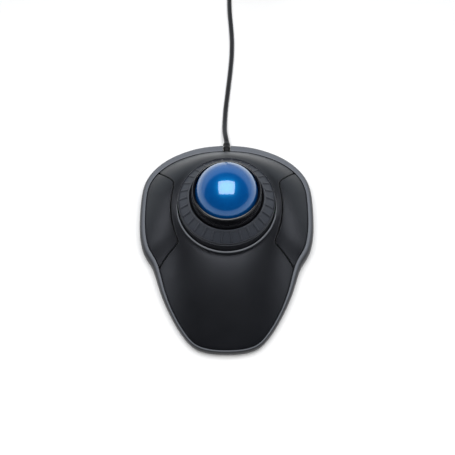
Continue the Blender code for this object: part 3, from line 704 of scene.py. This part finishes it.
def shaded_skirt_plastic():
    """Grey plastic with painted shade: coloured darker on its walls than on its upward faces, by the
    surface's tilt, as light from above would shade it.
    """
    material = moulded("skirt_grey_plastic", (0.114, 0.122, 0.138), (0.128, 0.136, 0.152),
                       (0.34, 0.42), gloss=0.14)
    tree = material.node_tree
    shader = tree.nodes["Principled BSDF"]
    upward = shader.inputs["Base Color"].links[0].from_socket
    surface = tree.nodes.new("ShaderNodeNewGeometry")
    split = tree.nodes.new("ShaderNodeSeparateXYZ")
    tree.links.new(surface.outputs["Normal"], split.inputs["Vector"])
    # Painted shade: the wall shade colour is mixed in where the surface tilts away from upward
    mix = tree.nodes.new("ShaderNodeMix")
    mix.data_type = "RGBA"
    mix.inputs["A"].default_value = SKIRT_WALL_SHADE_COLOUR
    tree.links.new(spread(tree, split.outputs["Z"], 0.0, 1.0, *SKIRT_SHADE_TILT), mix.inputs["Factor"])
    tree.links.new(upward, mix.inputs["B"])
    tree.links.new(mix.outputs["Result"], shader.inputs["Base Color"])
    return material


def polished(name, dark, light, roughness):
    """Gloss plastic with faint fine scratches and haze."""
    material, shader = new_material(name, roughness=roughness[0])
    tree = material.node_tree
    tree.links.new(mottled(tree, noise(tree, 30.0), dark, light), shader.inputs["Base Color"])
    tree.links.new(spread(tree, noise(tree, 160.0, 4.0), *roughness), shader.inputs["Roughness"])
    bumped(tree, shader, [(noise(tree, 500.0, 2.0), 0.04, 0.00003)])
    return material


def pearl_blue():
    """Ball: blue with fine pearl flakes under a clear coat."""
    material, shader = new_material("pearl_blue", metallic=0.2, roughness=0.3)
    tree = material.node_tree
    flakes = noise(tree, 4200.0, 1.0, 0.4)
    clouds = noise(tree, 55.0, 4.0, 0.55)
    body = mottled(tree, clouds, (0.0002, 0.066, 0.270), (0.0004, 0.088, 0.330), 0.25, 0.75)
    glint = mottled(tree, flakes, (0.75, 0.80, 0.85), (1.0, 1.0, 1.0), 0.35, 0.8)
    mix = tree.nodes.new("ShaderNodeMix")
    mix.data_type = "RGBA"
    mix.blend_type = "MULTIPLY"
    mix.inputs["Factor"].default_value = 1.0
    tree.links.new(body, mix.inputs["A"])
    tree.links.new(glint, mix.inputs["B"])
    tree.links.new(mix.outputs["Result"], shader.inputs["Base Color"])
    tree.links.new(spread(tree, flakes, 0.26, 0.38), shader.inputs["Roughness"])
    bumped(tree, shader, [(flakes, 0.12, 0.00003)])
    shader.inputs["Specular Tint"].default_value = (0.05, 0.90, 1.0, 1.0)
    shader.inputs["Coat Weight"].default_value = 1.0
    shader.inputs["Coat Roughness"].default_value = 0.02
    shader.inputs["Coat IOR"].default_value = 1.5
    return material


def brushed_steel():
    material, shader = new_material("brushed_steel", metallic=1.0, roughness=0.3)
    tree = material.node_tree
    tree.links.new(mottled(tree, noise(tree, 300.0), (0.50, 0.50, 0.52), (0.66, 0.66, 0.68)),
                   shader.inputs["Base Color"])
    tree.links.new(spread(tree, noise(tree, 900.0), 0.22, 0.36), shader.inputs["Roughness"])
    bumped(tree, shader, [(noise(tree, 1500.0), 0.1, 0.00003)])
    return material


def clear_lens():
    material, shader = new_material("clear_lens", roughness=0.05)
    tree = material.node_tree
    shader.inputs["Transmission Weight"].default_value = 1.0
    tree.links.new(mottled(tree, noise(tree, 80.0), (0.86, 0.90, 0.92), (0.92, 0.95, 0.97)),
                   shader.inputs["Base Color"])
    return material


FINISHES = {
    "soft_black": soft_touch(),
    "skirt_grey": shaded_skirt_plastic(),
    "gloss_black": polished("gloss_black_plastic", (0.004, 0.004, 0.005), (0.007, 0.007, 0.009),
                            (0.05, 0.10)),
    "ring_rubber": moulded("ring_rubber", (0.025, 0.028, 0.035), (0.031, 0.034, 0.042),
                           (0.42, 0.52), grain=2000.0),
    "foot_rubber": moulded("foot_rubber", (0.012, 0.012, 0.012), (0.020, 0.020, 0.020),
                           (0.70, 0.85)),
    "ball_blue": pearl_blue(),
    "cable_black": moulded("cable_black_pvc", (0.016, 0.016, 0.017), (0.023, 0.023, 0.024),
                           (0.38, 0.48)),
    "board_green": polished("solder_mask", (0.006, 0.085, 0.035), (0.012, 0.130, 0.055),
                            (0.30, 0.45)),
    "bearing": polished("bearing_ceramic", (0.78, 0.77, 0.73), (0.86, 0.85, 0.81), (0.10, 0.18)),
    "lens_clear": clear_lens(),
    "chip_black": moulded("chip_resin", (0.012, 0.012, 0.013), (0.020, 0.020, 0.021), (0.5, 0.62)),
    "connector_cream": moulded("connector_nylon", (0.60, 0.56, 0.46), (0.70, 0.66, 0.56),
                               (0.40, 0.50)),
    "steel": brushed_steel(),
}


def finish_frame():
    """Every CAD node that stays gets the finish of its material slot."""
    for subpart in frame["record"]["subparts"]:
        node = frame["nodes"][subpart["node"]]
        node.data.materials.clear()
        node.data.materials.append(FINISHES[subpart["material_slot"]])


def place(piece, body, slot, *nodes):
    """Puts a finished piece on its body, in place of the CAD nodes that it stands for."""
    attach(piece, body)
    if nodes:
        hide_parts(*nodes)
    return piece


# ---------------------------------------------------------------- camera, floor and light


def make_camera():
    data = bpy.data.cameras.new("camera")
    data.angle = CAMERA_ANGLE
    camera = bpy.data.objects.new("camera", data)
    camera.location = CAMERA_PLACE
    camera.rotation_euler = (CAMERA_TILT, 0.0, 0.0)
    bpy.context.scene.collection.objects.link(camera)
    bpy.context.scene.camera = camera


def make_floor():
    half = 1500.0
    corners = [(-half, -half, 0.0), (half, -half, 0.0), (half, half, 0.0), (-half, half, 0.0)]
    material, shader = new_material("pale_floor", roughness=0.55)
    tree = material.node_tree
    tree.links.new(mottled(tree, noise(tree, 6.0), (0.86, 0.86, 0.86), (0.88, 0.88, 0.88)),
                   shader.inputs["Base Color"])
    floor = make("floor", corners, [(0, 1, 2, 3)], material)


def area_light(name, place, target, size, power):
    data = bpy.data.lights.new(name, "AREA")
    data.shape = "RECTANGLE"
    data.size, data.size_y = size
    data.energy = power
    light = bpy.data.objects.new(name, data)
    light.location = place
    aim = Vector(target) - Vector(place)
    light.rotation_euler = aim.to_track_quat("-Z", "Y").to_euler()
    bpy.context.scene.collection.objects.link(light)
    return light


def make_world():
    """Surroundings: white walls behind and beside the object, dark overhead and at the camera."""
    world = bpy.data.worlds.new("studio")
    world.use_nodes = True
    tree = world.node_tree
    background = tree.nodes["Background"]
    place = tree.nodes.new("ShaderNodeTexCoord")
    split = tree.nodes.new("ShaderNodeSeparateXYZ")
    tree.links.new(place.outputs["Generated"], split.inputs["Vector"])
    lean = tree.nodes.new("ShaderNodeMath")
    lean.operation = "MULTIPLY_ADD"
    lean.inputs[1].default_value = -WALL_LEAN
    tree.links.new(split.outputs["Y"], lean.inputs[0])
    tree.links.new(split.outputs["Z"], lean.inputs[2])
    height = spread(tree, lean.outputs["Value"], 1.0, 0.0, *WALL_TOP)
    depth = tree.nodes.new("ShaderNodeValToRGB")
    stops = depth.color_ramp.elements
    stops[0].position, stops[1].position = 0.15, 0.80
    stops[0].color = (0.0, 0.0, 0.0, 1.0)
    stops[1].color = (1.0, 1.0, 1.0, 1.0)
    side = stops.new(0.50)
    side.color = (SIDE_WALL, SIDE_WALL, SIDE_WALL, 1.0)
    turn = spread(tree, split.outputs["Y"], 0.0, 1.0, -1.0, 1.0)
    tree.links.new(turn, depth.inputs["Fac"])
    wall = tree.nodes.new("ShaderNodeMath")
    wall.operation = "MULTIPLY"
    tree.links.new(height, wall.inputs[0])
    tree.links.new(depth.outputs["Color"], wall.inputs[1])
    glow = tree.nodes.new("ShaderNodeMath")
    glow.operation = "MULTIPLY_ADD"
    glow.inputs[1].default_value = REAR_WALL
    glow.inputs[2].default_value = ROOM_DARK
    tree.links.new(wall.outputs["Value"], glow.inputs[0])
    tree.links.new(glow.outputs["Value"], background.inputs["Strength"])
    background.inputs["Color"].default_value = ROOM_TINT
    bpy.context.scene.world = world


def make_light():
    """A soft overhead light, one card for the polished pieces and three for the satin ones."""
    make_world()
    target = (0.0, RING_Y * MM, BALL_Z * MM)
    softbox = area_light("softbox", SOFTBOX_PLACE, target, SOFTBOX_SIZE, SOFTBOX_POWER)
    softbox.visible_glossy = False
    card = area_light("mirrored_card", CARD_PLACE, target, SOFTBOX_SIZE, CARD_POWER)
    card.visible_diffuse = False
    card.light_linking.receiver_collection = POLISHED
    rear = area_light("rear_card", REAR_CARD_PLACE, target, REAR_CARD_SIZE, REAR_CARD_POWER)
    side_x, side_y, side_z = SIDE_CARD_PLACE
    cards = [rear]
    for side in (-1, 1):
        side_place = (side * side_x, side_y, side_z)
        cards.append(area_light("side_card", side_place, target, SIDE_CARD_SIZE, SIDE_CARD_POWER))
    for light in cards:
        light.visible_diffuse = False
        light.data.color = CARD_TINT
        light.light_linking.receiver_collection = SATIN
    bpy.context.scene.view_settings.view_transform = "Standard"


# ---------------------------------------------------------------- ring, ball, socket


def ring_profile():
    """Slope of the scroll ring from its inner lip to its outer edge, as (radius, height)."""
    lip = [(RING_INNER, 34.0), (RING_INNER, 34.4), (23.8, 34.8), (24.15, 35.0), (24.5, 34.93),
           (24.8, 34.7)]
    slope = [(radius, 34.45 - (radius - 25.1) * 0.71) for radius in np.linspace(25.1, 30.3, 24)]
    edge = [(30.6, 30.5), (30.95, 30.15), (31.2, 29.75), (RING_OUTER, 29.3), (RING_OUTER, 28.5),
            (31.1, 28.25), (30.6, 28.2), (29.6, 28.5), (27.0, 30.3), (24.4, 32.1), (RING_INNER, 32.6)]
    return lip + slope + edge


def rib_rise(radius, across):
    """Height of a rib at a radius and at a distance from its centre line."""
    along = np.clip(np.minimum(radius - RIB_START, RIB_END - radius) / RIB_HALF_WIDTH, 0.0, 1.0)
    aside = np.clip(1.0 - (across / RIB_HALF_WIDTH) ** 2, 0.0, 1.0)
    return RIB_HEIGHT * np.sqrt(aside) * np.sqrt(1.0 - (1.0 - along) ** 2)


def make_scroll_ring(material):
    """Cone-shaped grip with rounded radial ribs."""
    pitch = 2.0 * math.pi / RING_RIBS
    aside = np.array([0.0, 0.2, 0.38, 0.52, 0.62, 0.69, 0.74, 0.78, 0.9, 1.3, 1.9, 2.4])
    offsets = np.concatenate([-aside[:0:-1], aside]) / 27.6
    angles = []
    for rib in range(RING_RIBS):
        angles.append(rib * pitch + offsets)
        angles.append([rib * pitch + 0.5 * pitch])
    angles = np.concatenate(angles)
    rows = []
    for radius, height in ring_profile():
        nearest = (angles + 0.5 * pitch) % pitch - 0.5 * pitch
        top = height > 28.6 and radius > 24.9
        rise = rib_rise(radius, nearest * radius) if top else np.zeros(len(angles))
        base = height - (RIB_HEIGHT if top and RIB_START - 0.2 < radius < 30.7 else 0.0)
        rows.append(np.stack([radius * np.cos(angles), RING_Y + radius * np.sin(angles),
                              base + rise], axis=1))
    return lofted("scroll_ring_grip", rows, material, closed=True, angle=55.0)


def make_bezel(material):
    rim = [(0.0, -0.7), (0.05, -0.35), (0.2, -0.12), (0.42, -0.02), (0.65, 0.0), (0.88, -0.05),
           (1.1, -0.2), (1.27, -0.42), (1.38, -0.75)]
    profile = [(BEZEL_BORE + out, BEZEL_TOP + up) for out, up in rim]
    profile += [(22.0, 40.6), (22.5, 37.6), (22.85, 35.4), (23.0, 34.3), (23.0, 33.4), (22.9, 32.8),
                (22.5, 32.8), (22.5, 33.9), (BEZEL_BORE + 0.3, 33.9), (BEZEL_BORE + 0.3, 40.5)]
    return turned("ball_bezel_lip", profile, material, hollow=True, steps=256)


def make_ball(material):
    steps, rings = 192, 96
    points = [(0.0, RING_Y, BALL_Z - BALL_RADIUS)]
    faces = []
    for ring in range(1, rings):
        tilt = math.pi * ring / rings - math.pi / 2
        for step in range(steps):
            turn = 2.0 * math.pi * step / steps
            points.append((BALL_RADIUS * math.cos(tilt) * math.cos(turn),
                           RING_Y + BALL_RADIUS * math.cos(tilt) * math.sin(turn),
                           BALL_Z + BALL_RADIUS * math.sin(tilt)))
    points.append((0.0, RING_Y, BALL_Z + BALL_RADIUS))
    last = len(points) - 1
    for step in range(steps):
        after = (step + 1) % steps
        faces.append((0, 1 + after, 1 + step))
        faces.append((last, last - steps + step, last - steps + after))
        for ring in range(rings - 2):
            low = 1 + ring * steps
            faces.append((low + step, low + after, low + steps + after, low + steps + step))
    return make("trackball_pearl", points, faces, material)


def make_socket(material):
    """Bowl under the ball, hub, channel and neck."""
    outside = SOCKET_RADIUS + SOCKET_WALL

    def bowl(radius, ring_radius):
        return BALL_Z - math.sqrt(radius**2 - ring_radius**2)

    inner_wall = [(r, bowl(SOCKET_RADIUS, r)) for r in np.linspace(SENSOR_OPENING, 20.0, 16)]
    outer_wall = [(r, bowl(outside, r)) for r in np.linspace(20.6, SENSOR_OPENING + 0.6, 14)]
    neck = rounded([
        (NECK_INNER, CHANNEL_FLOOR + 0.5), (NECK_INNER, NECK_TOP), (NECK_OUTER, NECK_TOP),
        (NECK_OUTER, NECK_BOTTOM),
    ], 0.5, closed=False)
    profile = [
        *inner_wall, (20.3, 33.6), (22.2, 33.6), (22.2, CHANNEL_FLOOR),
        *neck, (NECK_INNER, NECK_BOTTOM), (NECK_INNER, CHANNEL_FLOOR - 2.0),
        (20.6, CHANNEL_FLOOR - 2.0), *outer_wall,
    ]
    return turned("ball_socket_and_neck", profile, material, hollow=True)


# ---------------------------------------------------------------- cable


def coil_turns():
    """Centreline of the wound cable: layers of turns, each layer in the grooves of the last."""
    pitch = CABLE_DIAMETER
    layer_rise = pitch * math.sin(math.radians(60.0))
    full = [COIL_MID_RADIUS + pitch * k for k in (1.5, 0.5, -0.5, -1.5)]
    grooves = [COIL_MID_RADIUS + pitch * k for k in (-1.0, 0.0, 1.0)]
    seats = []
    for layer in range(COIL_LAYERS):
        for radius in full if layer % 2 == 0 else grooves:
            seats.append((radius, COIL_FLOOR + layer * layer_rise))
    seats = seats[:-1] + [(full[0], TAIL_ROUTE[0][2] + 0.1)]
    return seats


def coil_path():
    seats = coil_turns()
    """The wound cable, which crosses to its next seat in the last part of each turn."""
    start_angle = math.pi
    steps = 48
    path = []
    count = round(COIL_TURNS * steps)
    for step in range(count + 1):
        turn = step / steps
        seat = min(int(turn), len(seats) - 1)
        share = turn - seat
        cross = np.clip((share - CROSSING_START) / (1.0 - CROSSING_START), 0.0, 1.0)
        cross = cross * cross * (3.0 - 2.0 * cross)
        here = np.array(seats[seat])
        there = np.array(seats[min(seat + 1, len(seats) - 1)])
        radius, height = here + (there - here) * cross
        angle = start_angle - 2.0 * math.pi * turn
        path.append((COIL_CENTRE[0] + radius * math.cos(angle),
                     COIL_CENTRE[1] + radius * math.sin(angle), height))
    return path


def make_cord(material):
    front = spline(CABLE_ROUTE)[::3]
    back = spline(TAIL_ROUTE)[::3]
    path = np.vstack([front, coil_path(), back])
    curve = bpy.data.curves.new("usb_cord", "CURVE")
    curve.dimensions = "3D"
    curve.bevel_depth = CABLE_DIAMETER / 2 * MM
    curve.bevel_resolution = 6
    curve.use_fill_caps = True
    line = curve.splines.new("POLY")
    line.points.add(len(path) - 1)
    for point, spot in zip(line.points, path):
        point.co = (*(Vector(spot) * MM), 1.0)
    curve.materials.append(material)
    cord = bpy.data.objects.new("usb_cord", curve)
    bpy.context.scene.collection.objects.link(cord)
    return cord


def lengthwise(name, profile, start, direction, material, steps=48):
    """Turns (radius, distance) points about a line from start."""
    made = turned(name, profile, material, centre=(0.0, 0.0), steps=steps)
    turn = Vector((0.0, 0.0, 1.0)).rotation_difference(Vector(direction)).to_matrix().to_4x4()
    made.data.transform(Matrix.Translation(Vector(start) * MM) @ turn)
    return made


def make_strain_relief(material):
    profile = [(1.9, 0.0), (1.9, 1.0), (2.8, 1.2), (2.8, 3.0), (2.2, 3.2)]
    for rib in range(5):
        start = 7.0 + 2.7 * rib
        reach = 2.55 - 0.02 * rib
        profile += [(2.2, start), (reach, start + 0.15), (reach, start + 1.35), (2.2, start + 1.5)]
    profile.append((1.8, 20.9))
    return lengthwise("cable_strain_relief", rounded(profile, 0.22, closed=False, steps=4),
                      (0.0, RELIEF_START, CABLE_EXIT_Z), (0.0, 1.0, 0.0), material)


def rounded_rectangle(half_width, half_height, radius, x, steps=6):
    """Loop across the plug's axis, at a distance x along it."""
    loop = []
    for side_y, side_z, start in ((1, 1, 0.0), (-1, 1, 90.0), (-1, -1, 180.0), (1, -1, 270.0)):
        for angle in np.radians(np.linspace(start, start + 90.0, steps)):
            loop.append((x, side_y * (half_width - radius) + radius * math.cos(angle),
                         side_z * (half_height - radius) + radius * math.sin(angle)))
    return loop


def plug_place():
    """Matrix from the plug's own frame, with +X along it, to its place at the tail's end."""
    end = Vector(TAIL_ROUTE[-1])
    along = end - Vector(TAIL_ROUTE[-2])
    along.z = 0.0
    along.normalize()
    turn = Matrix.Rotation(math.atan2(along.y, along.x), 4, "Z")
    return Matrix.Translation((end + along * 0.3) * MM) @ turn


def make_plug_grip(material):
    """Overmoulded grip with finger ribs on its sides."""
    rows = [rounded_rectangle(4.2, 2.6, 1.6, 9.0), rounded_rectangle(5.6, 3.1, 1.8, 9.3),
            rounded_rectangle(6.8, 3.6, 2.0, 10.4), rounded_rectangle(7.3, 3.8, 2.0, 11.8)]
    for x in np.linspace(13.0, 26.0, 53):
        groove = 0.45 * max(0.0, math.sin((x - 13.0) * 2.0 * math.pi / 2.6)) ** 2
        rows.append(rounded_rectangle(7.4 - groove, 3.8, 2.0, x))
    rows += [rounded_rectangle(7.4, 3.8, 2.0, 28.5), rounded_rectangle(7.3, 3.7, 1.9, 30.2),
             rounded_rectangle(7.0, 3.4, 1.6, 30.8), rounded_rectangle(6.6, 3.0, 1.3, 31.0)]
    grip = lofted("usb_plug_grip_moulding", rows, material, angle=50.0)
    sleeve = [(2.0, 0.0), (2.15, 0.2)]
    for rib in range(4):
        start = 0.8 + 2.2 * rib
        sleeve += [(2.2, start), (2.45 + 0.1 * rib, start + 0.2), (2.45 + 0.1 * rib, start + 1.2),
                   (2.25, start + 1.4)]
    sleeve.append((2.8, 10.0))
    relief = turned("sleeve", rounded(sleeve, 0.2, closed=False, steps=4), material,
                    centre=(0.0, 0.0), steps=40)
    relief.data.transform(Matrix.Rotation(math.pi / 2, 4, "Y"))
    absorb(grip, relief)
    grip.data.transform(plug_place())
    return grip


def make_plug_shell(material):
    """Folded metal shell with its two latch windows."""
    rows = [rounded_rectangle(5.5, 1.8, 0.3, 32.3), rounded_rectangle(5.6, 1.85, 0.3, 43.2),
            rounded_rectangle(5.7, 1.95, 0.35, 43.3), rounded_rectangle(5.9, 2.15, 0.45, 43.3),
            rounded_rectangle(6.0, 2.25, 0.5, 43.1), rounded_rectangle(6.0, 2.25, 0.5, 31.3)]
    shell = lofted("usb_plug_metal", rows, material, angle=30.0)
    window_place, half_window = 2.9, 1.15
    for side in (-1, 1):
        middle = side * window_place
        subtract(shell, block("window", (36.4, middle - half_window, 1.0),
                              (38.8, middle + half_window, 3.0), material))
    shell.data.transform(plug_place())
    return shell


def subtract(target, tool):
    """Cuts one object out of another and removes the first."""
    modifier = target.modifiers.new("cut", "BOOLEAN")
    modifier.operation = "DIFFERENCE"
    modifier.object = tool
    bpy.context.view_layer.update()
    evaluated = target.evaluated_get(bpy.context.evaluated_depsgraph_get())
    result = bpy.data.meshes.new_from_object(evaluated)
    target.modifiers.clear()
    target.data = result
    bpy.data.objects.remove(tool, do_unlink=True)


def make_tie(material):
    """Strap round the coil, beside the cable's far end."""
    low = COIL_MID_RADIUS - 6.8
    high = COIL_MID_RADIUS + 6.8
    inner = strap_loop(low, high, 0.1, 13.5, 2.2)
    outer = strap_loop(low - 0.6, high + 0.6, 0.02, 14.0, 2.6)
    rows = []
    for loop, across in ((inner, -3.0), (outer, -3.0), (outer, 3.0), (inner, 3.0)):
        rows.append([(COIL_CENTRE[0] + across, COIL_CENTRE[1] - r, z) for r, z in loop])
    return lofted("cable_tie", rows, material, closed=True, angle=45.0)


def strap_loop(low, high, bottom, top, radius, steps=7):
    loop = []
    corners = ((high, top, 1, 1, 0.0), (low, top, -1, 1, 90.0), (low, bottom, -1, -1, 180.0),
               (high, bottom, 1, -1, 270.0))
    for r, z, side_r, side_z, start in corners:
        for angle in np.radians(np.linspace(start, start + 90.0, steps)):
            loop.append((r - side_r * radius + radius * math.cos(angle),
                         z - side_z * radius + radius * math.sin(angle)))
    return loop


def make_foot(name, x, y, material):
    """Rubber foot with a rounded rim and a slightly domed, grooved face."""
    profile = [(2.2, 0.0), (2.5, 0.18), (3.0, 0.18), (3.3, 0.0), (5.4, 0.0), (5.75, 0.06),
               (5.93, 0.22), (FOOT_RADIUS, 0.45), (FOOT_RADIUS, 1.4)]
    return turned(name, profile, material, centre=(x, y), steps=96)


# ---------------------------------------------------------------- assembly


def build():
    finish_frame()
    make_camera()
    make_floor()
    make_light()

    relief = place(make_strain_relief(FINISHES["cable_black"]), BASE, "cable_black", "strain_relief")
    grip = place(make_plug_grip(FINISHES["cable_black"]), BASE, "cable_black", "usb_plug_grip")
    shell = place(make_plug_shell(FINISHES["steel"]), BASE, "steel", "usb_plug_shell")
    tie = place(make_tie(FINISHES["foot_rubber"]), BASE, "foot_rubber")
    cord = make_cord(FINISHES["cable_black"])
    place(cord, BASE, "cable_black", "usb_cable", "usb_cable_coil", "usb_cable_tail")

    skin_piece = place(make_top_shell(FINISHES["soft_black"]), BASE, "soft_black", "top_shell")
    satin = [skin_piece]
    # Painted highlight: the collar is part of the black shell but takes the lighter grey skirt plastic,
    # so its bead reads as a bright line; the mirrored card adds a real reflection on top of it
    collar_highlight_piece = place(make_collar(FINISHES["skirt_grey"]), BASE, "soft_black")
    for side, body in ((-1, "left_button_cap"), (1, "right_button_cap")):
        place(make_seam_ledge(side, FINISHES["chip_black"]), BASE, "soft_black")
        node = "left_button" if side < 0 else "right_button"
        satin.append(place(make_button(side, FINISHES["soft_black"]), body, "soft_black", node))
    # The tray carries the skirt plastic's painted shade: darker on its upright walls, lighter on its
    # upward faces
    tray = place(make_tray(FINISHES["skirt_grey"]), BASE, "skirt_grey", "base_tray")
    ring = place(make_scroll_ring(FINISHES["ring_rubber"]), "ring", "ring_rubber", "scroll_ring")
    bezel = place(make_bezel(FINISHES["gloss_black"]), BASE, "gloss_black", "ball_bezel")
    ball = place(make_ball(FINISHES["ball_blue"]), "ball", "ball_blue", "trackball")
    # The skirt plastic's painted shade also darkens the neck's upright wall
    place(make_socket(FINISHES["skirt_grey"]), BASE, "skirt_grey", "ball_socket")
    for x, y in FEET:
        for side in (-1, 1):
            node = f"foot_{'front' if y < 0 else 'rear'}_{'left' if side < 0 else 'right'}"
            foot = make_foot(node + "_pad", side * x, y, FINISHES["foot_rubber"])
            place(foot, BASE, "foot_rubber", node)
    for piece in (bezel, ball, collar_highlight_piece):
        POLISHED.objects.link(piece)
    for piece in (*satin, tray, ring):
        SATIN.objects.link(piece)


build()
bpy.context.view_layer.update()
